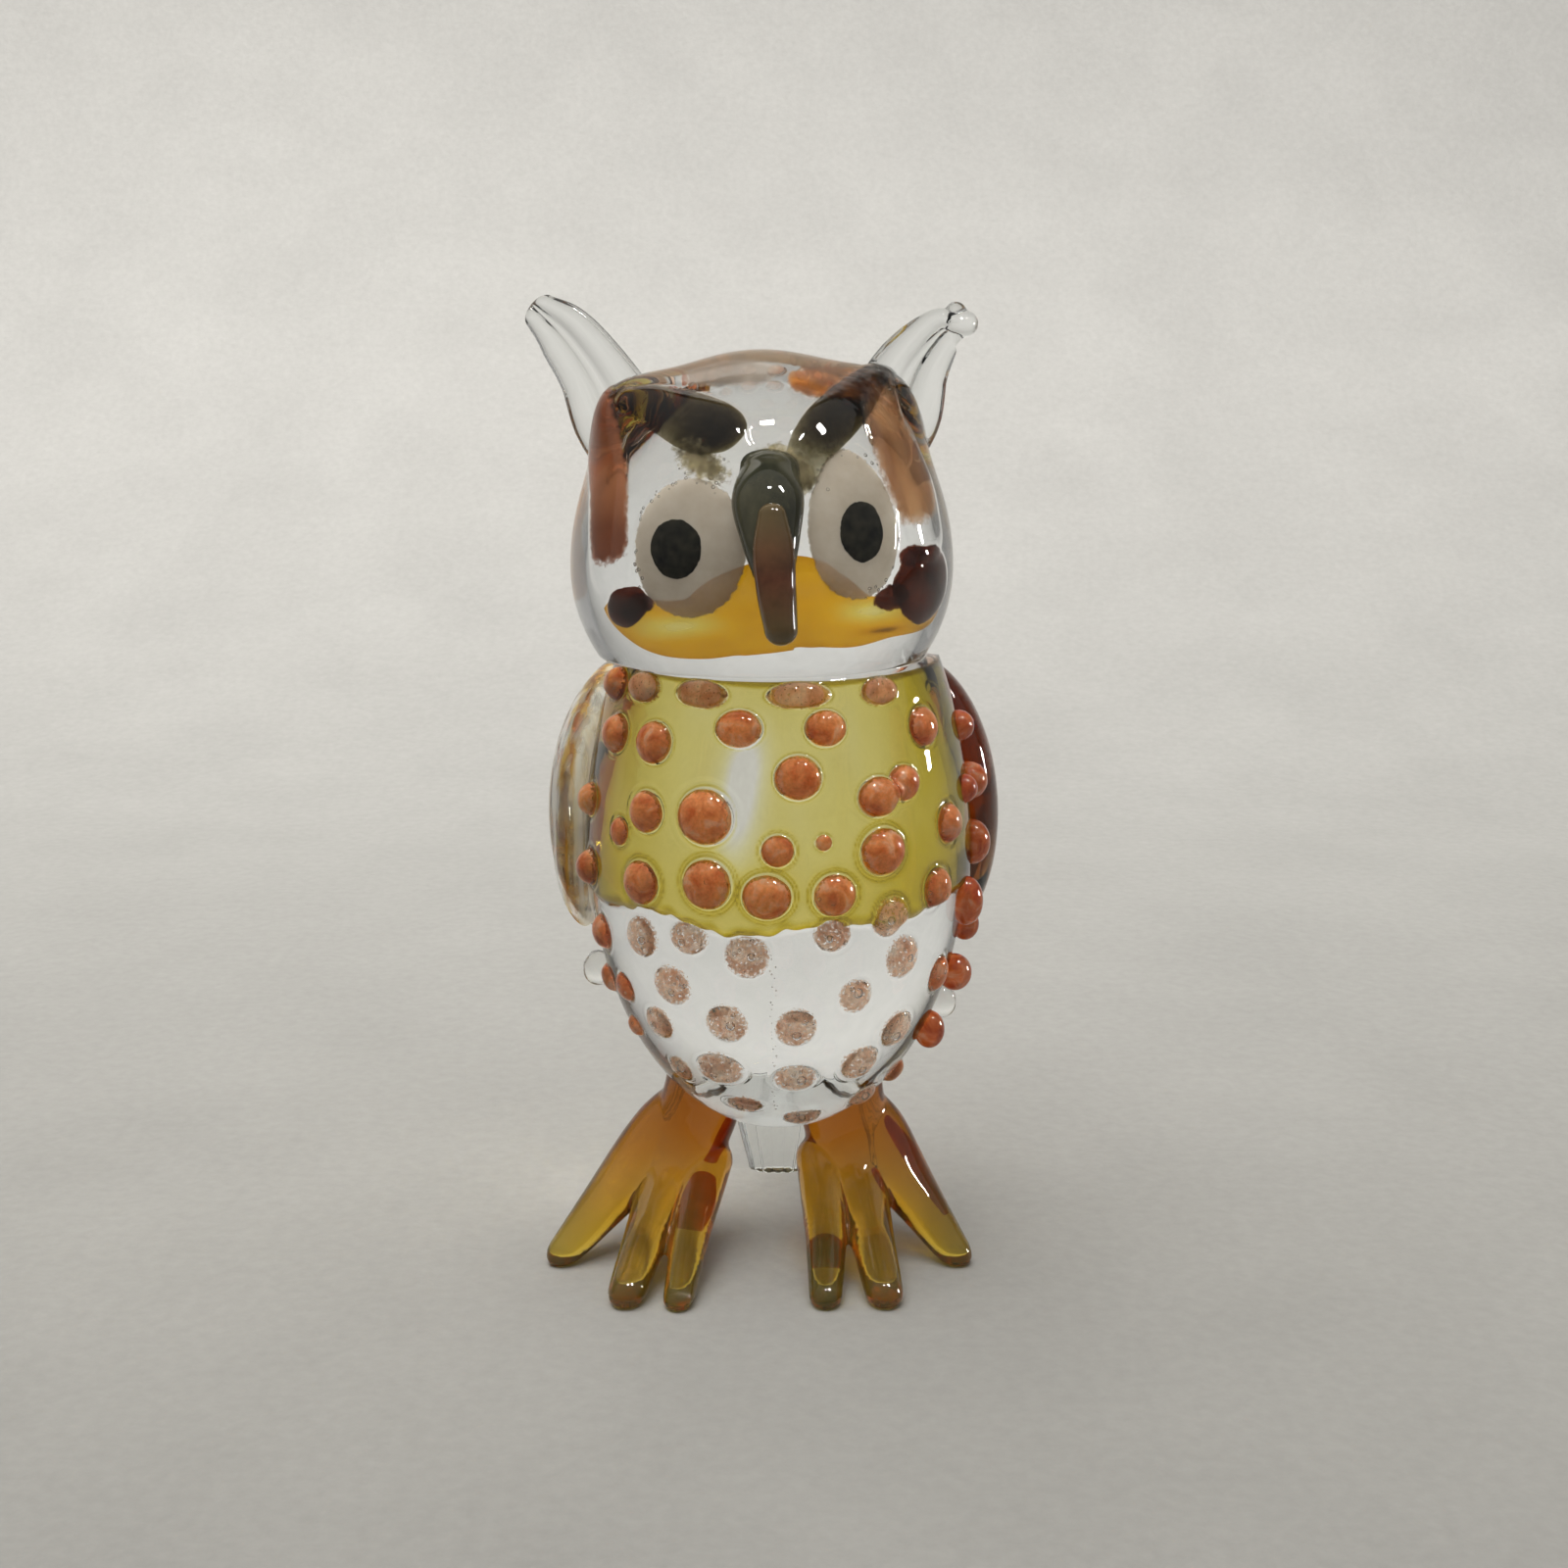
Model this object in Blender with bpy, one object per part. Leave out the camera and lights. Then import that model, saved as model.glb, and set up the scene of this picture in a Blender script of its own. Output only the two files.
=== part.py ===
"""A lampworked glass owl, standing on six toes and its tail.

Two solid clear gathers, the body and the head, carry everything else: a yellow casing
and orange frit drops on the breast, and the face, ears, wings, legs and tail.
The owl faces -Y and stands on z = 0. Lengths are in millimetres up to add_solid(), which
writes metres. Left and right are the viewer's, looking at the owl's face.
"""

import math

import bmesh
import bpy
from mathutils import Vector

MM = 0.001

# ---- Driving dimensions, in millimetres ----
BODY_LEVEL = 30.5  # height of the body's widest level
BODY_RADIUS = 14.35
BODY_DROP = 21.3  # from the widest level down to the bottom
BODY_RISE = 27.3  # from the widest level up to the pole that the neck cuts off
NECK_LEVEL = 46.6
HEAD_LEVEL = 53.3
HEAD_RADIUS = 14.25
HEAD_DROP = 12.8
HEAD_RISE = 15.9
GAP = 0.15  # clearance between solids that are fused in the real figurine
CASING = 0.45  # thickness of the yellow layer over the breast
PATCH = 0.45  # thickness of a colour patch on the face

EAR_ROOTS = (  # where an ear pulls the head's corner out: x, z, how far
    (-10.4, 64.8, 2.2),
    (8.4, 65.8, 1.9),
)
EAR_ROOT_SPREAD = 3.6

# Frit drops on the breast: azimuth in degrees from the front, height, half width, half height.
DROPS = (
    (-51, 45.3, 1.6, 1.1), (-26, 45.4, 2.0, 1.0), (7, 45.5, 2.3, 0.95), (36, 45.4, 1.5, 1.0),
    (-60, 41.7, 1.4, 1.5), (-41, 41.7, 1.6, 1.6), (-12, 43.2, 1.7, 1.4),
    (15, 43.2, 1.5, 1.35), (52, 42.5, 1.4, 1.5),
    (6, 39.9, 1.7, 1.65), (34, 38.6, 2.2, 1.5),
    (-41, 36.8, 1.5, 1.6), (-21, 37.0, 2.1, 2.1), (59, 35.2, 1.3, 1.5),
    (0, 34.8, 1.2, 1.2), (31, 34.3, 1.8, 1.8),
    (-42, 31.6, 1.6, 1.7), (-20, 32.2, 1.85, 1.9), (-3, 31.5, 1.8, 1.7),
    (16, 31.5, 1.6, 1.6), (52, 30.7, 1.4, 1.6),
    (-45, 27.2, 1.5, 1.6), (-9, 26.8, 1.7, 1.7), (41, 25.8, 1.5, 1.7),
    (-35, 23.8, 1.6, 1.6), (25, 23.3, 1.3, 1.4),
    (-17, 21.2, 1.6, 1.6), (6, 21.0, 1.6, 1.6),
)

# ---- Glasses: base colour, roughness, transmission ----
GLASSES = {
    "clear_glass": ((0.93, 0.96, 0.96), 0.02, 1.0),
    "yellow_glass": ((0.72, 0.62, 0.16), 0.03, 0.9),
    "orange_frit": ((0.66, 0.27, 0.15), 0.15, 0.3),
    "amber_glass": ((0.63, 0.28, 0.03), 0.04, 0.7),
    "brown_glass": ((0.26, 0.09, 0.04), 0.04, 0.6),
    "olive_glass": ((0.06, 0.06, 0.03), 0.05, 0.2),
    "opal_glass": ((0.62, 0.57, 0.55), 0.08, 0.5),
    "black_glass": ((0.015, 0.017, 0.02), 0.05, 0.0),
}


class Gather:
    """A molten gather of glass: an egg, with its own rise above and drop below its widest level."""

    def __init__(self, centre, radius, depth, rise, drop, pulls=()):
        self.centre = Vector(centre)
        self.radius = radius
        self.depth = depth
        self.rise = rise
        self.drop = drop
        self.pulls = []
        self.pulls = [(self.front(x, z), size) for x, z, size in pulls]

    def axes(self, above):
        return Vector((self.radius, self.radius * self.depth, self.rise if above else self.drop))

    def on_surface(self, point, lift=0.0):
        """The surface point below or above this one, as seen from the centre, moved out by lift."""
        offset = Vector(point) - self.centre
        axes = self.axes(offset.z > 0)
        stretch = Vector([offset[i] / axes[i] for i in range(3)]).length
        foot = offset / stretch
        normal = Vector([foot[i] / axes[i] ** 2 for i in range(3)]).normalized()
        for root, size in self.pulls:
            away = (self.centre + foot - root).length / EAR_ROOT_SPREAD
            lift += size * math.exp(-away * away)
        return self.centre + foot + normal * lift

    def at(self, azimuth, height, lift=0.0):
        """The surface point at an azimuth, in degrees from the front, and a height."""
        up = height - self.centre.z
        axes = self.axes(up > 0)
        reach = math.sqrt(max(1e-6, 1 - (up / axes.z) ** 2))
        turn = math.radians(azimuth)
        offset = Vector((axes.x * reach * math.sin(turn), -axes.y * reach * math.cos(turn), up))
        return self.on_surface(self.centre + offset, lift)

    def front(self, x, z):
        """The point of the front surface that lies at this x and z."""
        across = x - self.centre.x
        up = z - self.centre.z
        axes = self.axes(up > 0)
        left = max(0.0, 1 - (across / axes.x) ** 2 - (up / axes.z) ** 2)
        return self.on_surface(self.centre + Vector((across, -axes.y * math.sqrt(left), up)))

    def tangents(self, point):
        """Directions to the right along the surface, up along it, and out of it."""
        offset = point - self.centre
        axes = self.axes(offset.z > 0)
        out = Vector([offset[i] / axes[i] ** 2 for i in range(3)]).normalized()
        right = Vector((-out.y, out.x, 0)).normalized()
        return right, out.cross(right), out


BODY = Gather((0.25, 0, BODY_LEVEL), BODY_RADIUS, 0.95, BODY_RISE, BODY_DROP)
HEAD = Gather((-0.95, -0.5, HEAD_LEVEL), HEAD_RADIUS, 0.9, HEAD_RISE, HEAD_DROP, EAR_ROOTS)


# ---- Meshes ----
def skin(rings):
    """Vertices and faces of a closed skin over rings of points. A ring of one point is a pole."""
    verts, faces, rows = [], [], []
    for ring in rings:
        rows.append(list(range(len(verts), len(verts) + len(ring))))
        verts += ring
    for low, high in zip(rows, rows[1:]):
        sides = max(len(low), len(high))
        for i in range(sides):
            j = (i + 1) % sides
            corners = [low[i % len(low)], low[j % len(low)], high[j % len(high)], high[i % len(high)]]
            faces.append(list(dict.fromkeys(corners)))
    faces += [row for row in (rows[0], rows[-1]) if len(row) > 1]
    return verts, faces


def shell(outer, inner):
    """Vertices and faces of a closed sheet between two grids of points of the same size."""
    rows, columns = len(outer), len(outer[0])
    verts = [p for row in outer for p in row] + [p for row in inner for p in row]
    offset = rows * columns

    def quad(a, b, c, d):
        return [row * columns + column + side for row, column, side in (a, b, c, d)]

    faces = []
    for r in range(rows - 1):
        for c in range(columns - 1):
            for side in (0, offset):
                faces.append(quad((r, c, side), (r, c + 1, side), (r + 1, c + 1, side), (r + 1, c, side)))
        for c in (0, columns - 1):
            faces.append(quad((r, c, 0), (r + 1, c, 0), (r + 1, c, offset), (r, c, offset)))
    for c in range(columns - 1):
        for r in (0, rows - 1):
            faces.append(quad((r, c, 0), (r, c + 1, 0), (r, c + 1, offset), (r, c, offset)))
    return verts, faces


def smooth(points, count):
    """Count points evenly through a Catmull-Rom curve over these tuples."""
    rows = [Vector(p) for p in points]
    rows = [2 * rows[0] - rows[1]] + rows + [2 * rows[-1] - rows[-2]]
    spans = len(rows) - 3
    made = []
    for i in range(count):
        along = i / (count - 1) * spans
        k = min(int(along), spans - 1)
        t = along - k
        a, b, c, d = rows[k : k + 4]
        made.append(0.5 * ((2 * b) + (c - a) * t + (2 * a - 5 * b + 4 * c - d) * t * t
                           + (3 * b - a - 3 * c + d) * t ** 3))
    return made


def egg(gather, low, high, rings, sides, lift=0.0):
    """A gather as a solid, cut flat at the heights low or high, or whole where that is None."""
    def latitude(height, pole):
        if height is None:
            return pole
        up = height - gather.centre.z
        return math.asin(up / (gather.rise if up > 0 else gather.drop))

    start, end = latitude(low, -math.pi / 2), latitude(high, math.pi / 2)
    made = []
    for i in range(rings + 1):
        tilt = start + (end - start) * i / rings
        up = math.sin(tilt) * (gather.rise if tilt > 0 else gather.drop)
        if abs(tilt) > math.pi / 2 - 1e-6:
            made.append([gather.on_surface(gather.centre + Vector((0, 0, up)), lift)])
            continue
        height = gather.centre.z + up
        made.append([gather.at(360 * s / sides, height, lift) for s in range(sides)])
        cut = {0: low, rings: high}.get(i)
        if cut is not None:
            for point in made[-1]:
                point.z = cut
    return skin(made)


def drop(gather, centre, across, upward, thickness, base, tilt=0.0, taper=0.0, dome=2, sides=12,
         levels=(0.5, 0.85)):
    """A drop of glass pressed on a gather: an oval that follows the surface, domed outside.
    A higher dome number makes a flatter disc with a steeper rim, and taper narrows the lower end."""
    right, up, _ = gather.tangents(centre)
    turn = math.radians(tilt)

    def ring(share, lift):
        made = []
        for i in range(sides):
            angle = 2 * math.pi * i / sides
            v = share * math.sin(angle)
            u = share * math.cos(angle) * across * (1 + taper * v)
            v *= upward
            u, v = u * math.cos(turn) - v * math.sin(turn), u * math.sin(turn) + v * math.cos(turn)
            made.append(gather.on_surface(centre + right * u + up * v, lift))
        return made

    top = [ring(s, base + thickness * math.sqrt(1 - s**dome)) for s in levels]
    bottom = [ring(s, base) for s in reversed(levels[:-1])]
    poles = [[gather.on_surface(centre, base + thickness)], [gather.on_surface(centre, base)]]
    return skin([poles[0], *top, ring(1, base), *bottom, poles[1]])


def strip(gather, route, thickness, base, count=12, round_end=0.3):
    """A strip of glass laid on a gather along a route of (x, y, z, half width), with round ends."""
    rows = smooth(route, count)
    points = [Vector(row[:3]) for row in rows]
    made = []
    for i, row in enumerate(rows):
        along = (points[min(i + 1, count - 1)] - points[max(i - 1, 0)]).normalized()
        foot = gather.on_surface(points[i])
        if i in (0, count - 1):
            made.append([gather.on_surface(points[i], base)])
            continue
        from_end = min(i, count - 1 - i) / (count - 1) / round_end
        fade = math.sqrt(1 - max(0.0, 1 - from_end) ** 2)
        side = along.cross(gather.tangents(foot)[2]).normalized()
        outside = [(s, base + fade * thickness * math.sqrt(1 - s * s)) for s in (-0.8, -0.35, 0.35, 0.8)]
        loop = [(-1, base), *outside, (1, base), (0.5, base), (-0.5, base)]
        made.append([gather.on_surface(foot + side * s * row[3] * fade, lift) for s, lift in loop])
    return skin(made)


def rod(route, wide=(1, 0, 0), count=8, sides=10, grow=0.0, ends=(1, 1), floor=False):
    """A pulled rod through (x, y, z, half width, half thickness) points, with round ends.
    Wide is the direction of the half width, and ends says how pointed each round end is."""
    rows = smooth(route, count)
    points = [Vector(row[:3]) for row in rows]

    def ring(i, share, shift):
        along = (points[min(i + 1, count - 1)] - points[max(i - 1, 0)]).normalized()
        broad = (Vector(wide) - along * along.dot(Vector(wide))).normalized()
        thin = along.cross(broad)
        half, thick = rows[i][3] + grow, rows[i][4] + grow
        centre = points[i] + along * shift * thick
        if share == 0:
            return [centre]
        angles = [2 * math.pi * s / sides for s in range(sides)]
        return [centre + broad * share * half * math.cos(a) + thin * share * thick * math.sin(a)
                for a in angles]

    cap = [(0.0, 1.0), (0.5, 0.866), (0.866, 0.5)]
    made = [ring(0, share, -reach * ends[0]) for share, reach in cap]
    made += [ring(i, 1, 0) for i in range(count)]
    made += [ring(count - 1, share, reach * ends[1]) for share, reach in reversed(cap)]
    if floor:  # pressed flat where it stands
        for loop in made:
            for point in loop:
                point.z = max(point.z, 0.0)
    return skin(made)


# ---- Objects ----
def glass(name):
    """The material of this name, made on first use."""
    found = bpy.data.materials.get(name)
    if found:
        return found
    colour, roughness, clarity = GLASSES[name]
    made = bpy.data.materials.new(name)
    made.use_nodes = True
    shader = made.node_tree.nodes["Principled BSDF"]
    shader.inputs["Base Color"].default_value = (*colour, 1)
    shader.inputs["Roughness"].default_value = roughness
    shader.inputs["Metallic"].default_value = 0.0
    shader.inputs["Transmission Weight"].default_value = clarity
    return made


def add_solid(name, mesh, material, parent):
    """One object from (vertices, faces) in millimetres, with its origin at its middle."""
    verts, faces = mesh
    middle = sum(verts, Vector()) / len(verts)
    data = bpy.data.meshes.new(name)
    data.from_pydata([(v - middle) * MM for v in verts], [], faces)
    made = bmesh.new()
    made.from_mesh(data)
    bmesh.ops.recalc_face_normals(made, faces=made.faces)
    made.to_mesh(data)
    made.free()
    data.shade_smooth()
    data.set_sharp_from_angle(angle=math.radians(50))
    data.materials.append(glass(material))
    solid = bpy.data.objects.new(name, data)
    solid.location = middle * MM
    solid.parent = parent
    bpy.context.scene.collection.objects.link(solid)
    return solid


def add_cutter(name, mesh, parent):
    """A helper solid that trims its neighbours and isn't part of the owl."""
    cutter = add_solid(name, mesh, "clear_glass", parent)
    cutter.hide_render = True
    cutter.display_type = "WIRE"
    return cutter


def trim(solid, *cutters):
    """Cuts the solid back from each cutter."""
    for cutter in cutters:
        cut = solid.modifiers.new("trim_" + cutter.name, "BOOLEAN")
        cut.operation = "DIFFERENCE"
        cut.solver = "EXACT"
        cut.object = cutter
    return solid


# ---- Gathers ----
def add_gathers(owl):
    add_solid("body_gather", egg(BODY, None, NECK_LEVEL - GAP / 2, 16, 32), "clear_glass", owl)
    add_solid("head_gather", egg(HEAD, NECK_LEVEL + GAP / 2, None, 16, 32), "clear_glass", owl)


def casing_edge(azimuth):
    """Height of the yellow layer's wavy lower edge."""
    turn = math.radians(azimuth)
    return 29.1 + 0.4 * math.sin(7 * turn) - 0.3 * math.cos(3 * turn)


def add_casing(owl):
    """The yellow layer over the upper breast, from wing to wing and up to the neck."""
    half_sweep, columns, rows = 78, 26, 7
    top = NECK_LEVEL - 0.6
    azimuths = [-half_sweep + 2 * half_sweep * i / columns for i in range(columns + 1)]

    def grid(lift):
        made = []
        for azimuth in azimuths:
            edge = casing_edge(azimuth)
            made.append([BODY.at(azimuth, edge + (top - edge) * r / rows, lift) for r in range(rows + 1)])
        return made

    add_solid("breast_casing", shell(grid(GAP + CASING), grid(GAP)), "yellow_glass", owl)


def add_drops(owl):
    """Frit drops, on the casing where it covers the body and on bare glass below it."""
    for number, (azimuth, height, across, upward) in enumerate(DROPS, 1):
        on_casing = height + upward > casing_edge(azimuth)
        base = GAP + (CASING + GAP if on_casing else 0)
        mesh = drop(BODY, BODY.at(azimuth, height), across, upward, 0.35 * upward + 0.3, base,
                    sides=10, levels=(0.7,))
        add_solid(f"frit_drop_{number:02d}", mesh, "orange_frit", owl)


# ---- Head ----
def face_route(*points):
    """Points (x, z, half width) of the face as (x, y, z, half width)."""
    return [(*HEAD.front(x, z), half) for x, z, half in points]


def add_beak(owl):
    """The green root on the brow, and the brown drop that hangs from it. Returns their cutters."""
    root = [(-0.3, -11.0, 61.6, 2.0, 1.4), (-0.4, -13.2, 59.4, 2.5, 1.8),
            (-0.2, -14.8, 56.8, 2.0, 1.6), (0.0, -15.6, 55.0, 1.5, 1.3)]
    fall = [(0.0, -16.1, 56.2, 1.4, 0.9), (0.2, -17.2, 53.6, 1.35, 1.2), (0.5, -18.0, 51.3, 1.15, 1.15)]
    head_cut = add_cutter("cut_head", egg(HEAD, NECK_LEVEL, None, 16, 32, lift=GAP), owl)
    root_cut = add_cutter("cut_beak_root", rod(root, grow=GAP), owl)
    trim(add_solid("beak_root", rod(root), "olive_glass", owl), head_cut)
    trim(add_solid("beak_drop", rod(fall), "brown_glass", owl), root_cut)
    return head_cut, root_cut


def add_eyes(owl, beak_cut):
    """An opal disc and a black pupil on each side. Returns cutters for the discs."""
    eyes = {  # disc x, z, half width, half height, then the same for the pupil
        "left": ((-6.1, 56.8, 4.3, 4.8), (-6.6, 56.1, 1.8, 2.1)),
        "right": ((5.8, 57.5, 3.3, 5.0), (5.9, 57.1, 1.6, 2.0)),
    }
    cutters = []
    for side, (disc, pupil) in eyes.items():
        trim(add_solid(f"{side}_eye_disc", pad(disc), "opal_glass", owl), beak_cut)
        add_solid(f"{side}_pupil", pad(pupil, base=2 * GAP + PATCH), "black_glass", owl)
        cutters.append(add_cutter(f"cut_{side}_eye", pad_cut(disc), owl))
    return cutters


def pad(shape, base=GAP):
    """A flat oval patch on the face from (x, z, half width, half height)."""
    x, z, across, upward = shape
    return drop(HEAD, HEAD.front(x, z), across, upward, PATCH, base, dome=6, sides=20)


def pad_cut(shape):
    """A steep plug round a patch, to trim its neighbours."""
    x, z, across, upward = shape
    return drop(HEAD, HEAD.front(x, z), across + 2 * GAP, upward + 2 * GAP, 3, -2 * GAP, dome=20,
                sides=20, levels=(0.5, 0.97))


def add_face(owl, eye_cuts):
    """Coloured strips and spots that lie round the eyes."""
    stripes = {
        "left": ((-11.5, 63.2, 1.4), (-11.4, 59.0, 1.5), (-11.9, 55.6, 1.3)),
        "right": ((8.8, 63.4, 1.4), (9.9, 60.8, 1.5), (10.9, 58.2, 1.2)),
    }
    for side, points in stripes.items():
        mesh = strip(HEAD, face_route(*points), PATCH, GAP, count=9, round_end=0.25)
        trim(add_solid(f"{side}_temple_stripe", mesh, "brown_glass", owl), *eye_cuts)
    cheeks = {"left": (-11.0, 52.4, 2.1, 1.5), "right": (10.8, 53.7, 2.6, 2.6)}
    cheek_cuts = []
    for side, spot in cheeks.items():
        trim(add_solid(f"{side}_cheek_spot", pad(spot), "brown_glass", owl), *eye_cuts)
        cheek_cuts.append(add_cutter(f"cut_{side}_cheek", pad_cut(spot), owl))
    chin = face_route((-11.4, 50.2, 1.2), (-6.4, 50.0, 1.9), (-1.8, 50.9, 2.8), (0.6, 51.1, 3.0),
                      (3.2, 50.9, 2.8), (6.6, 50.4, 1.9), (10.6, 50.6, 1.2))
    chin_solid = add_solid("chin_patch", strip(HEAD, chin, PATCH, GAP, count=16, round_end=0.12),
                           "yellow_glass", owl)
    trim(chin_solid, *eye_cuts, *cheek_cuts)
    crown = [(-8.6, 1.2, 66.6, 1.6), (-5.2, 2.2, 68.6, 2.6), (-1.0, 2.6, 69.4, 3.0),
             (3.4, 2.2, 68.6, 2.6), (6.9, 1.2, 67.0, 1.6)]
    add_solid("crown_band", strip(HEAD, crown, PATCH, GAP, count=13), "brown_glass", owl)


def add_brows(owl, cutters):
    """Dark olive brows that run from the ears down to the beak."""
    brows = {
        "left": ((-10.2, 64.6, 1.3), (-7.4, 65.4, 1.8), (-4.4, 64.2, 1.9), (-3.2, 61.8, 1.5)),
        "right": ((6.6, 66.0, 1.3), (4.8, 64.2, 1.6), (3.0, 62.2, 1.7), (1.9, 60.2, 1.2)),
    }
    for side, points in brows.items():
        mesh = strip(HEAD, face_route(*points), 1.4, GAP, count=13)
        trim(add_solid(f"{side}_brow", mesh, "olive_glass", owl), *cutters)


def add_ears(owl, head_cut):
    """Clear tufts pulled up and out from the head's corners, leaf-shaped."""
    tufts = {
        "left": ([(-9.6, 0, 61.4, 3.6, 1.0), (-11.6, 0, 64.4, 3.4, 1.15), (-13.3, 0, 67.6, 2.7, 1.1),
                  (-15.3, 0, 70.3, 2.2, 0.95), (-17.1, 0, 71.9, 1.4, 0.8)], (0.84, 0.0, 0.54)),
        "right": ([(7.6, 0, 61.8, 3.6, 1.3), (8.9, 0, 65.0, 3.6, 1.4), (10.2, -0.2, 68.0, 2.8, 1.3),
                   (12.0, -0.4, 70.3, 1.9, 1.2), (13.3, -0.5, 71.0, 1.1, 1.1)], (0.8, 0.1, -0.6)),
    }
    for side, (route, wide) in tufts.items():
        trim(add_solid(f"{side}_ear", rod(route, wide, count=9, sides=14), "clear_glass", owl), head_cut)


# ---- Wings, legs and tail ----
def add_wings(owl):
    """Thick leaves of brown glass along the sides, each ending in a clear bead."""
    wings = {  # azimuth and height of the leaf, half width, half height, thickness, tilt, then the bead
        "left": ((-121, 34.6, 8.8, 12.2, 3.9, 12), (-98, 21.6, 1.2)),
        "right": ((126, 34.0, 8.2, 12.6, 4.4, -12), (102, 18.8, 1.2)),
    }
    for side, (leaf, bead) in wings.items():
        azimuth, height, across, upward, thickness, tilt = leaf
        mesh = drop(BODY, BODY.at(azimuth, height), across, upward, thickness, GAP, tilt=tilt,
                    taper=0.25, sides=20, levels=(0.35, 0.65, 0.85, 0.96))
        wing = add_solid(f"{side}_wing", mesh, "brown_glass", owl)
        azimuth, height, radius = bead
        centre = BODY.at(azimuth, height, radius + GAP)
        ball = [(*(centre + Vector((0, 0, up))), radius, radius) for up in (-0.2, 0.2)]
        wing_cut = add_cutter(f"cut_{side}_bead", rod(ball, count=2, grow=GAP), owl)
        add_solid(f"{side}_wing_bead", rod(ball, count=2), "clear_glass", owl)
        trim(wing, wing_cut)


# Routes of rods, as (x, y, z, half width, half thickness).
LEGS = {
    "left": [(-5.1, 0.8, 14.2, 3.2, 2.9), (-6.0, 0.2, 10.4, 3.5, 2.9), (-7.6, -1.0, 6.8, 4.0, 2.7),
             (-8.6, -2.4, 4.4, 3.9, 2.1)],
    "right": [(5.0, 0.8, 14.0, 3.3, 2.9), (5.4, 0.2, 10.2, 3.7, 2.9), (6.2, -1.0, 6.8, 4.0, 2.7),
              (6.6, -2.4, 4.4, 3.8, 2.1)],
}
TOES = {
    "left_middle_toe": [(-8.8, -2.6, 4.8, 2.1, 2.1), (-9.9, -8.4, 3.1, 1.8, 1.8),
                        (-10.9, -13.0, 0.9, 1.5, 1.5)],
    "left_outer_toe": [(-9.4, -1.0, 6.4, 2.5, 2.2), (-13.4, -4.0, 4.0, 1.9, 1.8),
                       (-16.5, -6.5, 0.9, 1.5, 1.5)],
    "left_inner_toe": [(-5.9, -2.4, 5.0, 1.9, 1.8), (-6.5, -8.4, 3.0, 1.5, 1.5),
                       (-7.1, -13.7, 0.7, 1.2, 1.2)],
    "right_middle_toe": [(6.8, -2.6, 4.8, 2.1, 2.1), (7.5, -8.4, 3.1, 1.8, 1.8),
                         (8.1, -13.0, 0.9, 1.5, 1.5)],
    "right_outer_toe": [(8.0, -1.0, 6.4, 2.6, 2.2), (11.2, -4.0, 4.0, 1.9, 1.8),
                        (14.1, -6.5, 0.9, 1.5, 1.5)],
    "right_inner_toe": [(4.0, -2.4, 5.0, 1.9, 1.8), (3.9, -8.4, 3.0, 1.6, 1.6),
                        (3.8, -13.3, 0.8, 1.3, 1.3)],
}


def add_legs(owl):
    """Amber legs under the body and three toes from each, trimmed where they would be fused."""
    body_cut = add_cutter("cut_body", egg(BODY, None, NECK_LEVEL, 16, 32, lift=GAP), owl)
    for side, route in LEGS.items():
        trim(add_solid(f"{side}_leg", rod(route, count=9, sides=12), "amber_glass", owl), body_cut)
        leg_cut = add_cutter(f"cut_{side}_leg", rod(route, count=9, sides=12, grow=GAP), owl)
        middle = TOES[f"{side}_middle_toe"]
        middle_cut = add_cutter(f"cut_{side}_toe", rod(middle, grow=GAP), owl)
        for toe in (f"{side}_middle_toe", f"{side}_outer_toe", f"{side}_inner_toe"):
            solid = add_solid(toe, rod(TOES[toe], floor=True), "amber_glass", owl)
            trim(solid, leg_cut, *([] if "middle" in toe else [middle_cut]))
    return body_cut


def add_tail(owl, body_cut):
    """A flat clear plume that comes down behind the legs and stands on the floor."""
    route = [(0.2, 8.6, 17.0, 2.6, 1.2), (0.2, 11.0, 11.5, 3.8, 1.4), (0.2, 11.9, 6.0, 3.8, 1.4),
             (0.2, 11.8, 0.7, 2.6, 1.3)]
    tail = add_solid("tail_plume", rod(route, count=8, sides=14, floor=True), "clear_glass", owl)
    trim(tail, body_cut)


def centre_on_floor(owl):
    """Moves the owl so that the middle of its box stands over the origin."""
    bpy.context.view_layer.update()
    graph = bpy.context.evaluated_depsgraph_get()
    corners = []
    for solid in owl.children:
        if not solid.hide_render:
            found = solid.evaluated_get(graph)
            corners += [found.matrix_world @ Vector(corner) for corner in found.bound_box]
    for axis in (0, 1):
        values = [corner[axis] for corner in corners]
        owl.location[axis] -= (min(values) + max(values)) / 2


def build_owl():
    for old in list(bpy.data.objects):
        bpy.data.objects.remove(old)
    owl = bpy.data.objects.new("owl", None)
    bpy.context.scene.collection.objects.link(owl)
    add_gathers(owl)
    add_casing(owl)
    add_drops(owl)
    head_cut, root_cut = add_beak(owl)
    eye_cuts = add_eyes(owl, root_cut)
    add_face(owl, eye_cuts)
    add_brows(owl, [root_cut, *eye_cuts])
    add_ears(owl, head_cut)
    add_wings(owl)
    body_cut = add_legs(owl)
    add_tail(owl, body_cut)
    centre_on_floor(owl)


build_owl()
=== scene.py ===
"""A lampworked clear glass owl with a yellow breast, orange frit drops and amber legs, on a pale floor.

The CAD frame gives the place and size. The fine pieces repeat its formulas: two egg-shaped gathers of
clear glass carry every feature, and the colours lie just under their skin, as cased glass does.
Lengths are in millimetres up to add_piece(), which writes metres. Azimuths are degrees from the front
of the owl, which faces -Y. Left and right are the viewer's.
"""

import math

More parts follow.
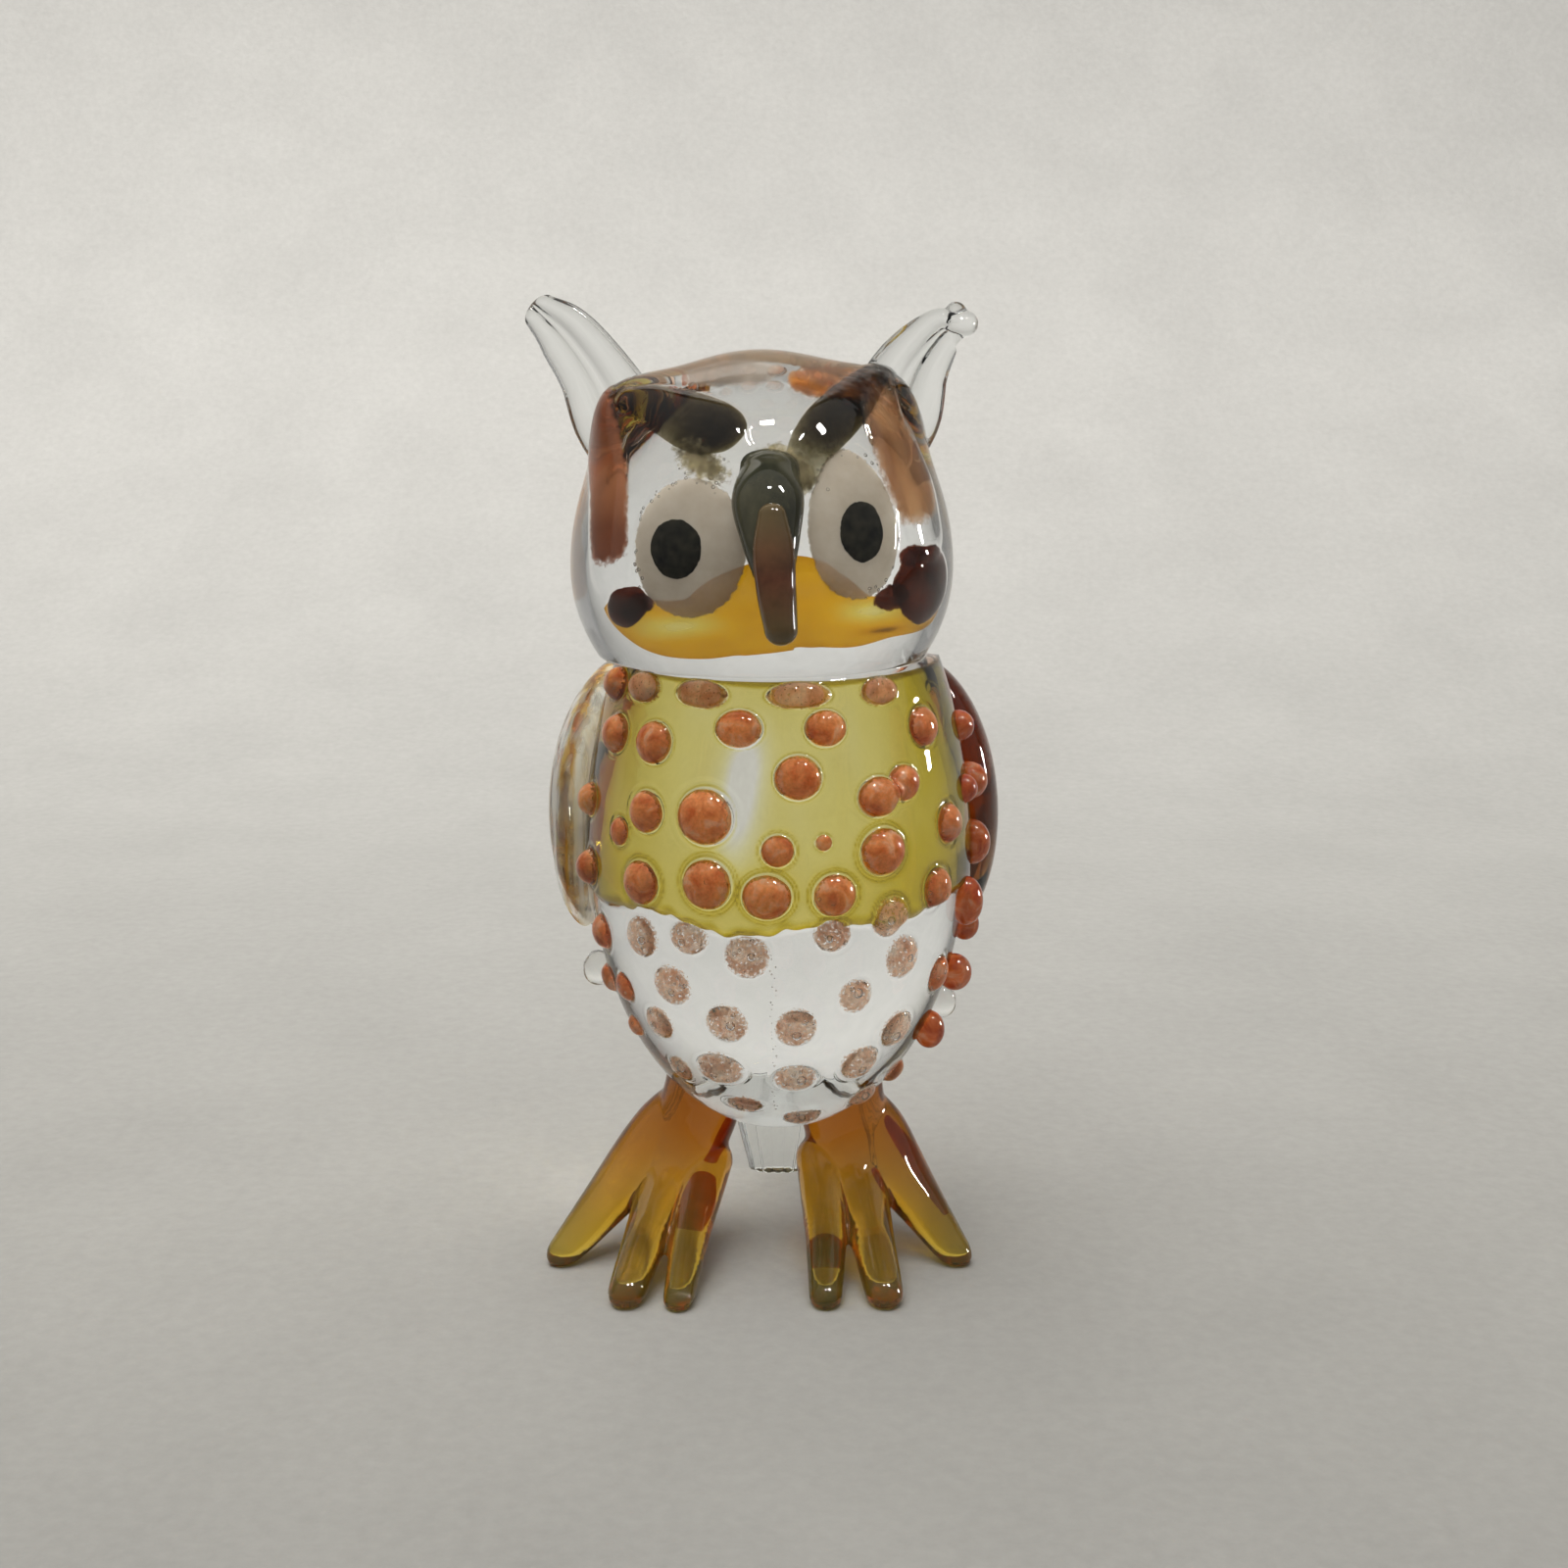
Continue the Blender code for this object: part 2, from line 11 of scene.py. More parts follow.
import bpy
import numpy as np
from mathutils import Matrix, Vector


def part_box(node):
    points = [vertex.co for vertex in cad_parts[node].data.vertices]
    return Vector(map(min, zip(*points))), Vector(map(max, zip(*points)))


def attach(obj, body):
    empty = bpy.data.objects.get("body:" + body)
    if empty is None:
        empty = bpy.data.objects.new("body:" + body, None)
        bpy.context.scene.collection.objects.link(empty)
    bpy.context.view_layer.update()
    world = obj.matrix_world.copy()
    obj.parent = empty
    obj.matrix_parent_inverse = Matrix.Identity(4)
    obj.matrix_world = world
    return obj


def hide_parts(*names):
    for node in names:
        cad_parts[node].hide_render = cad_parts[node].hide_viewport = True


MM = 0.001
BODY_CENTRE = (0.25, 0.0, 30.5)
CAMERA_AT = (0.7, -165.64, 74.74)
CAMERA_AIM = (0.7, 0.0, 36.5)
CAMERA_LENS = 51.0
NECK = 46.6  # height of the crease between body and head
CASING = 0.5  # how far the yellow layer stands out
COVER = 0.14  # clear glass over an inlaid colour
SEAT = 0.06  # how deep a piece that touches a gather sinks into it
SLUMP = 0.6  # height over which glass rounds off where it meets the floor
BUMP = 0.35  # strength of every bump
RNG = np.random.default_rng(11)

# Frit drops: azimuth, height, half width, half height. The first 28 are CAD solids.
DROPS = (
    (-51, 45.3, 1.6, 1.1), (-26, 45.4, 2.0, 1.0), (7, 45.5, 2.3, 0.95), (36, 45.4, 1.5, 1.0),
    (-60, 41.7, 1.4, 1.5), (-41, 41.7, 1.6, 1.6), (-12, 43.2, 1.7, 1.4),
    (15, 43.2, 1.5, 1.35), (52, 42.5, 1.4, 1.5),
    (6, 39.9, 1.7, 1.65), (34, 38.6, 2.2, 1.5),
    (-41, 36.8, 1.5, 1.6), (-21, 37.0, 2.1, 2.1), (59, 35.2, 1.3, 1.5),
    (0, 34.8, 1.2, 1.2), (31, 34.3, 1.8, 1.8),
    (-42, 31.6, 1.6, 1.7), (-20, 32.2, 1.85, 1.9), (-3, 31.5, 1.8, 1.7),
    (16, 31.5, 1.6, 1.6), (52, 30.7, 1.4, 1.6),
    (-45, 27.2, 1.5, 1.6), (-9, 26.8, 1.7, 1.7), (41, 25.8, 1.5, 1.7),
    (-35, 23.8, 1.6, 1.6), (25, 23.3, 1.3, 1.4),
    (-17, 21.2, 1.6, 1.6), (6, 21.0, 1.6, 1.6),
)
SMALL_DROPS = (
    (-68, 45.0, 1.3, 1.3), (-74, 36.2, 1.2, 1.3), (-52, 34.9, 0.9, 1.1), (13, 35.3, 0.6, 0.6),
    (-71, 31.2, 1.3, 1.4), (34, 29.3, 1.4, 1.6), (-69, 26.2, 1.3, 1.4), (-27, 27.9, 1.5, 1.3), (16, 28.4, 1.4, 1.3),
    (63, 23.2, 1.2, 1.5), (-79, 21.8, 1.1, 1.2), (-60, 22.3, 1.1, 1.2),
    (-45, 20.2, 1.3, 1.4), (46, 19.6, 1.5, 1.6), (33, 17.2, 1.6, 1.6),
    (-23, 17.0, 1.9, 1.5), (7, 16.4, 1.6, 1.3), (-64, 18.8, 0.9, 0.9), (-44, 16.2, 1.0, 1.2),
    (70, 14.5, 1.0, 1.1), (-17, 13.5, 1.4, 0.9), (15, 12.0, 1.5, 1.0), (51, 13.2, 1.3, 1.1),
)
# Whole beads of orange glass stuck on the right flank: azimuth, height, half width, half height.
BEADS = ((85, 41.2, 1.2, 1.2), (87, 36.9, 1.45, 1.45), (76, 36.9, 1.05, 1.1), (86, 32.2, 1.4, 1.75),
         (74, 28.4, 1.3, 1.9), (84, 25.9, 1.1, 1.3), (82, 22.2, 1.35, 1.45), (78, 17.8, 1.2, 1.5))


def unit(v):
    return v / np.linalg.norm(v, axis=-1, keepdims=True)


def step(low, high, x):
    t = np.clip((x - low) / (high - low), 0, 1)
    return t * t * (3 - 2 * t)


def bell(x, middle, width):
    return np.exp(-(((x - middle) / width) ** 2))


def circle(sides):
    """Angles of this many points round a circle."""
    return np.linspace(0, 2 * math.pi, sides, endpoint=False)


def cap(square):
    """Height of a drop's cap, from 1 at its middle to 0 at its rim, by the square of the radius."""
    return np.clip(1 - square, 0, 1) * (1 + 0.6 * np.clip(square, 0, 1))


class Gather:
    """An egg of clear glass with relief on it: every feature raises the skin over itself."""

    def __init__(self, centre, radius, depth, rise, drop):
        self.centre = np.array(centre, float)
        self.radius, self.depth, self.rise, self.drop = radius, depth, rise, drop
        self.pulls = []
        self.relief = []

    def axes(self, up):
        made = np.empty(np.shape(up) + (3,))
        made[..., 0] = self.radius
        made[..., 1] = self.radius * self.depth
        made[..., 2] = np.where(up > 0, self.rise, self.drop)
        return made

    def foot(self, points):
        """The points of the bare egg below these ones, and the directions out of it there."""
        offset = np.asarray(points, float) - self.centre
        axes = self.axes(offset[..., 2])
        offset = offset / np.linalg.norm(offset / axes, axis=-1, keepdims=True)
        return self.centre + offset, unit(offset / axes**2)

    def skin(self, points, lift=0.0, raised=True):
        """These points moved onto the skin, and out of it by lift."""
        foot, out = self.foot(points)
        total = np.zeros(foot.shape[:-1]) + lift
        for root, size, spread in self.pulls:
            total += size * np.exp(-((np.linalg.norm(foot - root, axis=-1) / spread) ** 2))
        if raised:
            for feature in self.relief:
                total += feature(foot)
        return foot + out * total[..., None]

    def at(self, azimuth, height):
        up = np.asarray(height, float) - self.centre[2]
        turn = np.radians(azimuth)
        axes = self.axes(up)
        reach = np.sqrt(np.clip(1 - (up / axes[..., 2]) ** 2, 0, 1))
        return self.centre + np.stack(
            [axes[..., 0] * reach * np.sin(turn), -axes[..., 1] * reach * np.cos(turn), up + 0 * turn], -1)

    def front(self, x, z):
        """The point of the front that lies at this x and z."""
        offset = np.array([x, 0, z]) - self.centre
        axes = self.axes(offset[2])
        left = max(0.0, 1 - (offset[0] / axes[0]) ** 2 - (offset[2] / axes[2]) ** 2)
        offset[1] = -axes[1] * math.sqrt(left)
        return self.skin(self.centre + offset, raised=False)

    def frame(self, point):
        """Right along the surface, up along it and out of it, at a point."""
        out = self.foot(point)[1]
        right = unit(np.array([-out[1], out[0], 0.0]))
        return right, np.cross(out, right), out


BODY = Gather(BODY_CENTRE, 14.35, 0.95, 27.3, 21.3)
HEAD = Gather((-0.95, -0.5, 53.3), 14.25, 0.9, 15.9, 12.8)
HEAD.pulls = [(HEAD.front(-10.4, 64.8), 2.2, 3.6), (HEAD.front(8.4, 65.8), 1.9, 3.6)]


# --- meshes
def outward(verts, faces):
    """These faces, all turned round if they look inwards."""
    volume = 0.0
    for a, b in ((1, 2), (2, 3)):
        picked = [[face[0], face[a], face[b]] for face in faces if len(face) > b]
        if not picked:
            continue
        corners = verts[np.array(picked)]
        volume += np.einsum("ij,ij->", corners[:, 0], np.cross(corners[:, 1], corners[:, 2]))
    return faces if volume > 0 else [face[::-1] for face in faces]


def rings_mesh(rings):
    """A closed skin over rings of points, an array (rings, sides, 3). The first and last are poles."""
    count, sides = rings.shape[:2]
    verts = np.concatenate([rings[0, :1], rings[1:-1].reshape(-1, 3), rings[-1, :1]])
    s = np.arange(sides)
    n = (s + 1) % sides
    i = 1 + np.arange(count - 3)[:, None] * sides
    quads = np.stack([i + s, i + n, i + sides + n, i + sides + s], -1).reshape(-1, 4)
    last = 1 + (count - 3) * sides
    fans = [[0, 1 + b, 1 + a] for a, b in zip(s, n)]
    fans += [[len(verts) - 1, last + a, last + b] for a, b in zip(s, n)]
    fraction = np.linspace(0, 1, count)
    uv = np.stack(np.broadcast_arrays(fraction[1:-1, None], s[None, :] / sides), -1).reshape(-1, 2)
    uv = np.concatenate([[[0, 0]], uv, [[1, 0]]])
    return verts, outward(verts, quads.tolist() + fans), uv


def sheet_mesh(outer, inner):
    """A closed sheet between two grids of points of the same size."""
    rows, columns = outer.shape[:2]
    verts = np.concatenate([outer.reshape(-1, 3), inner.reshape(-1, 3)])
    index = np.arange(rows * columns).reshape(rows, columns)
    top = np.stack([index[:-1, :-1], index[:-1, 1:], index[1:, 1:], index[1:, :-1]], -1).reshape(-1, 4)
    rim = np.concatenate([index[0, :], index[1:, -1], index[-1, -2::-1], index[-2:0:-1, 0]])
    after = np.roll(rim, -1)
    offset = rows * columns
    side = np.stack([after, rim, rim + offset, after + offset], -1)
    faces = np.concatenate([top, top[:, ::-1] + offset, side]).tolist()
    grid = np.stack(np.meshgrid(np.linspace(0, 1, columns), np.linspace(0, 1, rows)), -1).reshape(-1, 2)
    return verts, outward(verts, faces), np.concatenate([grid, grid])


def join(*meshes):
    """Several meshes as one, with their paint if they have any."""
    faces, base = [], 0
    for mesh in meshes:
        faces += [[base + v for v in face] for face in mesh[1]]
        base += len(mesh[0])
    columns = [np.concatenate(column) for column in zip(*[(mesh[0], *mesh[2:]) for mesh in meshes])]
    return (columns[0], faces, *columns[1:])


def curve(points, count):
    """Count rows evenly through a Catmull-Rom curve over these rows of numbers."""
    rows = np.array(points, float)
    rows = np.vstack([2 * rows[0] - rows[1], rows, 2 * rows[-1] - rows[-2]])
    along = np.linspace(0, len(rows) - 3, count)
    k = np.minimum(along.astype(int), len(rows) - 4)
    t = (along - k)[:, None]
    a, b, c, d = (rows[k + i] for i in range(4))
    return 0.5 * (2 * b + (c - a) * t + (2 * a - 5 * b + 4 * c - d) * t**2 + (3 * b - a - 3 * c + d) * t**3)


def turned(u, v, degrees):
    turn = math.radians(degrees)
    return u * math.cos(turn) - v * math.sin(turn), u * math.sin(turn) + v * math.cos(turn)


def disc_grid(gather, centre, across, upward, tilt=0.0, taper=0.0, sides=32, shares=12, rag=0.0):
    """Points of an oval on the gather as (shares, sides, 3), and each row's share of the radius."""
    right, up, _ = gather.frame(centre)
    share = np.sin(np.linspace(0, math.pi / 2, shares))[:, None]
    angle = circle(sides)[None, :]
    wobble = 1 + rag * sum(RNG.uniform(-1, 1) * np.sin(k * angle + RNG.uniform(0, 6)) / k for k in (2, 3, 5, 7, 11))
    v = share * np.sin(angle) * wobble
    u = share * np.cos(angle) * wobble * across * (1 + taper * v)
    u, v = turned(u, v * upward, tilt)
    return centre + u[..., None] * right + v[..., None] * up, share


def oval_square(gather, centre, across, upward, tilt, points):
    """The square of how far out points lie in an oval on a gather: 0 at its middle, 1 at its rim."""
    right, up, _ = gather.frame(centre)
    u, v = turned((points - centre) @ right, (points - centre) @ up, -tilt)
    return (u / across) ** 2 + (v / upward) ** 2


def oval_relief(gather, centre, across, upward, height, tilt=0.0, flat=1, moat=0.0):
    """A feature that raises the skin over an oval, with a moat round it. A higher flat makes a plateau."""
    out = gather.frame(centre)[2]

    def feature(foot):
        square = oval_square(gather, centre, across, upward, tilt, foot)
        ring = bell(np.sqrt(square), 1.2, 0.08) if moat else 0.0
        return (height * cap(square**flat) - moat * ring) * ((foot - centre) @ out > -6)

    return feature


def path_relief(gather, route, height, flat=1):
    """A feature that raises the skin along a route of (x, y, z, half width)."""
    rows = curve(route, 40)
    feet = gather.foot(rows[:, :3])[0]

    def feature(foot):
        made = np.zeros(foot.shape[:-1])
        near = np.flatnonzero(np.linalg.norm(foot - feet.mean(0), axis=-1).ravel() < 16)
        points = foot.reshape(-1, 3)[near]
        gaps = np.linalg.norm(points[:, None] - feet[None], axis=-1)
        nearest = gaps.argmin(1)
        square = (gaps.min(1) / rows[nearest, 3]) ** 2
        made.ravel()[near] = height * cap(square**flat)
        return made

    return feature


def inlay_disc(gather, centre, across, upward, thickness, cover=COVER, **grid):
    """A closed lens of colour under the skin."""
    points, share = disc_grid(gather, centre, across, upward, **grid)
    rise = np.sqrt(np.clip(1 - share**4, 0, 1)) * np.ones(points.shape[:2])
    outer = gather.skin(points, -cover - 0.3 * thickness * (1 - rise))
    inner = gather.skin(points, -cover - thickness * (0.3 + 0.7 * rise))
    return rings_mesh(np.concatenate([outer, inner[-2::-1]]))


def inlay_strip(gather, route, thickness, cover=COVER, count=48, sides=9, ends=0.2):
    """A closed strip of colour under the skin along a route of (x, y, z, half width, thickness share)."""
    rows = curve(route, count)
    feet, out = gather.foot(rows[:, :3])
    along = unit(np.gradient(feet, axis=0))
    side = unit(np.cross(along, out))
    from_end = np.minimum(np.arange(count), np.arange(count)[::-1]) / (count - 1) / ends
    fade = np.sqrt(np.clip(1 - np.clip(1 - from_end, 0, 1) ** 2, 0, 1))
    share = np.cos(np.linspace(math.pi, 0, sides))
    points = feet[:, None] + side[:, None] * (share[None, :] * (rows[:, 3] * fade)[:, None])[..., None]
    depth = np.sqrt(np.clip(1 - share**2, 0, 1))[None, :] * (fade * rows[:, 4] * thickness)[:, None]
    outer = gather.skin(points, -cover)
    inner = gather.skin(points, -cover - depth - 0.01)
    loops = np.concatenate([outer, inner[:, ::-1][:, 1:-1]], axis=1)
    loops[0], loops[-1] = loops[0].mean(0), loops[-1].mean(0)
    return rings_mesh(loops)


def rod(route, wide=(1, 0, 0), count=40, sides=32, ends=(1, 1), ridges=0, ridge_depth=0.0, groove=0.0):
    """A pulled rod through (x, y, z, half width, half thickness) rows, with round ends. Ridges run
    along it all round, and a groove runs down the middle of both broad faces."""
    rows = curve(route, count)
    along = unit(np.gradient(rows[:, :3], axis=0))
    wide = np.array(wide, float)
    broad = unit(wide - along * (along @ wide)[:, None])
    thin = np.cross(along, broad)
    angle = circle(sides)
    fluting = 1 - ridge_depth * np.cos(ridges * angle) ** 2
    furrow = fluting * (1 - groove * np.exp(-((np.cos(angle) / 0.33) ** 2)))

    def ring(i, share, shift):
        centre = rows[i, :3] + along[i] * shift * rows[i, 4]
        return (centre + broad[i] * (share * rows[i, 3] * np.cos(angle) * fluting)[:, None]
                + thin[i] * (share * rows[i, 4] * np.sin(angle) * furrow)[:, None])

    turns = np.linspace(0, math.pi / 2, 8)
    made = [ring(0, math.sin(t), -math.cos(t) * ends[0]) for t in turns[:-1]]
    made += [ring(i, 1, 0) for i in range(count)]
    made += [ring(-1, math.sin(t), math.cos(t) * ends[1]) for t in turns[-2::-1]]
    return rings_mesh(np.array(made))


def ball(centre, radii, rows=8, sides=10):
    lat, lon = np.linspace(0, math.pi, rows)[:, None], circle(sides)[None, :]
    sphere = np.broadcast_arrays(np.sin(lat) * np.cos(lon), np.sin(lat) * np.sin(lon), np.cos(lat))
    return rings_mesh(np.array(centre) + np.stack(sphere, -1) * radii)


def bubbles(spots):
    """Round cavities at (x, y, z, radius): their faces look into the hollow."""
    verts, faces, uv = join(*[ball(spot[:3], spot[3]) for spot in spots])
    return verts, [face[::-1] for face in faces], uv


def seat(mesh, gather):
    """The mesh with everything that would sink deeper into the gather laid just under its skin."""
    verts, faces, uv = mesh
    skin = gather.skin(verts)
    out = gather.foot(verts)[1]
    sunk = np.einsum("ij,ij->i", verts - skin, out) < -SEAT
    return np.where(sunk[:, None], skin - out * SEAT, verts), faces, uv


def rim_fade(mesh, width=0.3):
    """An inlay_disc() painted 1 inside, falling to 0 over the outer part of its radius."""
    return paint(mesh, np.clip((1 - np.sin(math.pi * mesh[2][:, 0])) / width, 0, 1))


def edge_fade(mesh, width=0.5, ends=0.15):
    """For inlay_strip(): 1 along the middle, falling to 0 at both edges and both ends."""
    along, around = mesh[2].T
    return np.clip((1 - np.abs(np.cos(2 * math.pi * around))) / width, 0, 1) * np.clip(
        np.minimum(along, 1 - along) / ends, 0, 1)


def paint(mesh, values):
    """The mesh with a number from 0 to 1 at every vertex, which Look.painted() reads."""
    return (*mesh[:3], values)


def mesh_data(name, verts, faces):
    """A mesh of points in metres."""
    data = bpy.data.meshes.new(name)
    data.from_pydata(verts.tolist(), [], faces)
    data.shade_smooth()
    return data


def show(name, data):
    """An object of this mesh, lamp or camera, in the scene."""
    made = bpy.data.objects.new(name, data)
    bpy.context.scene.collection.objects.link(made)
    return made


def add_piece(name, mesh, material, slot, *replaces):
    """One piece, in metres, riding on the root, in place of these CAD nodes."""
    verts, faces, uv = mesh[:3]
    data = mesh_data(name, (verts + SHIFT) * MM, faces)
    if len(mesh) > 3:
        data.attributes.new("paint", "FLOAT", "POINT").data.foreach_set("value", np.clip(mesh[3], 0, 1))
    corner = np.empty(len(data.loops), np.int32)
    data.loops.foreach_get("vertex_index", corner)
    data.uv_layers.new(name="UVMap").data.foreach_set("uv", uv[corner].ravel())
    data.materials.append(material)
    piece = show(name, data)
    piece.visible_shadow = slot != "clear_glass"  # clear glass lets the light through
    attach(piece, "root")
    if replaces:
        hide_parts(*replaces)


# --- materials
def linked(tree, value, socket):
    """Puts a number, a colour or another node's output into a socket."""
    if hasattr(value, "links"):
        tree.links.new(value, socket)
    elif isinstance(value, tuple) and len(socket.default_value) == len(value) + 1:
        socket.default_value = (*value, 1)
    else:
        socket.default_value = value


def add_node(tree, kind, **inputs):
    """A shader node with these inputs: spaces in a socket's name are written as underscores."""
    node = tree.nodes.new("ShaderNode" + kind)
    for socket, value in inputs.items():
        linked(tree, value, node.inputs[socket.replace("_", " ")])
    return node


def add_ramp(tree, fac, stops):
    """A colour ramp over fac from (position, colour) stops. A colour may be one grey number."""
    node = add_node(tree, "ValToRGB", Fac=fac)
    elements = node.color_ramp.elements
    while len(elements) < len(stops):
        elements.new(0.5)
    for element, (position, colour) in zip(elements, stops):
        element.position = position
        element.color = (*(colour if isinstance(colour, tuple) else (colour,) * 3), 1)
    return node.outputs[0]


class Look:
    """A Principled material with a few node helpers. Patterns use object coordinates, in metres."""

    def __init__(self, name, colour, roughness=0.0, transmission=1.0, ior=1.5, specular=0.5):
        self.made = bpy.data.materials.new(name)
        self.made.use_nodes = True
        self.tree = self.made.node_tree
        self.shader = self.tree.nodes["Principled BSDF"]
        for socket, value in (("Base Color", (*colour, 1)), ("Roughness", roughness), ("IOR", ior),
                              ("Transmission Weight", transmission), ("Specular IOR Level", specular)):
            self.shader.inputs[socket].default_value = value
        self.where = add_node(self.tree, "TexCoord").outputs["Object"]

    def link(self, output, socket):
        self.tree.links.new(output, self.shader.inputs[socket])

    def colour(self, fac, *stops):
        """The base colour, as a ramp over fac."""
        self.link(self.ramp(fac, *stops), "Base Color")

    def absorb(self, per_mm):
        """Glass coloured through its depth: how much of red, green and blue each millimetre takes."""
        densest = max(per_mm)
        volume = add_node(self.tree, "VolumeAbsorption", Color=tuple(1 - p / densest for p in per_mm),
                          Density=densest / MM)
        self.tree.links.new(volume.outputs[0], self.tree.nodes["Material Output"].inputs["Volume"])
        return self

    def noise(self, scale, detail=3.0, rough=0.55, warp=0.0, stretch=(1, 1, 1)):
        """Noise of this many grains per millimetre."""
        place = add_node(self.tree, "Mapping", Vector=self.where, Scale=stretch)
        return add_node(self.tree, "TexNoise", Vector=place.outputs[0], Scale=scale / MM, Detail=detail,
                        Roughness=rough, Distortion=warp).outputs["Fac"]

    def cells(self, scale):
        """The distance to the nearest of this many points per millimetre."""
        return add_node(self.tree, "TexVoronoi", Vector=self.where, Scale=scale / MM).outputs["Distance"]

    def along(self, axis):
        """Object coordinate 0, 1 or 2, in metres."""
        return add_node(self.tree, "SeparateXYZ", Vector=self.where).outputs[axis]

    def painted(self):
        """The numbers that paint() gave the vertices."""
        node = add_node(self.tree, "Attribute")
        node.attribute_name = "paint"
        return node.outputs["Fac"]

    def ramp(self, fac, *stops):
        return add_ramp(self.tree, fac, stops)

    def math(self, operation, a, b):
        node = add_node(self.tree, "Math")
        node.operation = operation
        for socket, value in zip(node.inputs, (a, b)):
            linked(self.tree, value, socket)
        return node.outputs[0]

    def plus(self, a, b, times):
        """a + b * times."""
        return self.math("ADD", a, self.math("MULTIPLY", b, times))

    def thin(self, scale, detail, share, start, end):
        """Lets the colour thin out into grains where its paint fades."""
        grain = self.plus(self.noise(scale, detail, 0.65), self.painted(), share)
        self.link(self.ramp(grain, (start, 0.0), (end, 1.0)), "Alpha")

    def mix(self, fac, a, b):
        """Colour a turning into b by fac, or a times b where fac is None."""
        node = add_node(self.tree, "Mix")
        node.data_type = "RGBA"
        if fac is None:
            node.blend_type = "MULTIPLY"
        for socket, value in zip((node.inputs[0], *node.inputs[6:8]), (1.0 if fac is None else fac, a, b)):
            linked(self.tree, value, socket)
        return node.outputs[2]

    def bump(self, height, distance):
        node = add_node(self.tree, "Bump", Height=height, Distance=distance * MM, Strength=BUMP)
        self.link(node.outputs[0], "Normal")


def inlay(name, colour, clarity=1.0, roughness=0.0):
    """Colour inside clear glass, with no surface of its own to bend or reflect the light."""
    return Look(name, colour, roughness, clarity, ior=1.0, specular=0.0)


def clear_look(name, tint=(0.97, 0.99, 1.0)):
    """Clear glass: a faint cool tint and the slow ripples that the flame leaves."""
    look = Look(name, tint)
    look.bump(look.noise(0.35, 2, stretch=(1, 1, 0.5)), 0.05)
    return look.made


def stain_look(name, deep, light, clarity, scale=0.6, stretch=(1, 1, 1), ragged=0.0, soft=0.0):
    """A colour inlaid in clear glass: partly see-through and mottled from deep to light. It thins out
    into grains where its paint fades, and a soft one into a haze."""
    look = inlay(name, deep, clarity)
    look.colour(look.noise(scale, 4, stretch=stretch), (0.3, deep), (0.7, light))
    look.thin(2.2, 5, ragged, 0.62 - soft / 4, 0.80 + soft)
    return look.made


def frit_look(name, deep, light, cream, density, specks):
    """Powder glass: melted orange grains, clouded with cream, thinning to pinholes at the rim, with a
    few dark specks in it."""
    look = inlay(name, deep, clarity=0.5, roughness=0.6)
    cloud = look.ramp(look.noise(0.75, 3, 0.55, 0.6), (0.34, deep), (0.54, light), (0.72, cream))
    grains = look.ramp(look.noise(5.0, 2), (0.35, 0.80), (0.62, 1.0))
    dots = look.ramp(look.cells(2.6), (specks, (0.30, 0.20, 0.16)), (specks + 0.06, 1.0))
    look.link(look.mix(None, look.mix(None, cloud, grains), dots), "Base Color")
    look.thin(4.5, 4, density, 0.58, 0.70)
    return look.made


# --- gathers
def azimuth_of(points):
    """Degrees round the body from its front."""
    away = points - BODY.centre
    return np.degrees(np.arctan2(away[..., 0], -away[..., 1]))


def casing_edge(azimuth):
    """Height of the yellow layer's wavy lower edge."""
    turn = np.radians(azimuth)
    return 29.1 + 0.4 * np.sin(7 * turn) - 0.3 * np.cos(3 * turn)


def casing_relief(foot):
    azimuth = azimuth_of(foot)
    return CASING * step(-0.5, 0.5, foot[..., 2] - casing_edge(azimuth)) * step(0, 6, 96 - np.abs(azimuth))


def drop_height(azimuth, height, across, upward):
    """How far a frit drop stands out: least on the belly, most at the flanks."""
    proud = 0.36 + 0.22 * step(24, 32, height) + 0.28 * step(45, 72, abs(azimuth))
    return min(across, upward + 0.2) * proud


def lobes(drop):
    """The ovals that make up a drop: the long one at the right is two that ran together."""
    return ((30.5, 38.2, 1.65, 1.5), (39.8, 38.9, 1.4, 1.35)) if drop == DROPS[10] else (drop,)


def raise_body():
    BODY.relief.append(casing_relief)
    for drop in DROPS + SMALL_DROPS:
        for azimuth, height, across, upward in lobes(drop):
            size = drop_height(azimuth, height, across, upward)
            moat = 0.06 if 30 < height < 37.5 else 0.02
            BODY.relief.append(oval_relief(BODY, BODY.at(azimuth, height), across, upward, size, moat=moat))


def face(*points):
    """Rows of the face given by x and z, each with the numbers that follow them."""
    return [(*HEAD.front(x, z), *rest) for x, z, *rest in points]


LEFT_BROW = face((-9.3, 65.0, 1.0, 0.10), (-8.4, 65.2, 1.6, 0.22), (-7.2, 65.1, 2.0, 0.40), (-5.6, 64.6, 2.3, 0.85),
                 (-3.9, 63.9, 2.2, 1.0), (-2.9, 62.7, 1.6, 0.5))
RIGHT_BROW = face((7.0, 67.0, 1.0, 0.25), (5.2, 65.6, 1.7, 0.75), (3.6, 64.1, 1.8, 0.8), (2.4, 62.6, 1.5, 0.35),
                  (1.9, 60.9, 1.1, 0.2), (1.6, 59.5, 0.7, 0.1))
LEFT_TEMPLE = face((-11.2, 65.3, 1.4, 1), (-11.7, 63.2, 2.4, 1), (-11.9, 60.2, 2.4, 1), (-11.9, 57.2, 2.3, 1),
                   (-11.8, 54.2, 2.2, 1))
RIGHT_TEMPLE = face((6.9, 66.2, 1.0, 1), (7.6, 64.6, 2.0, 1), (8.9, 62.2, 2.9, 1), (9.9, 59.8, 3.3, 1),
                    (10.8, 57.0, 2.6, 1))
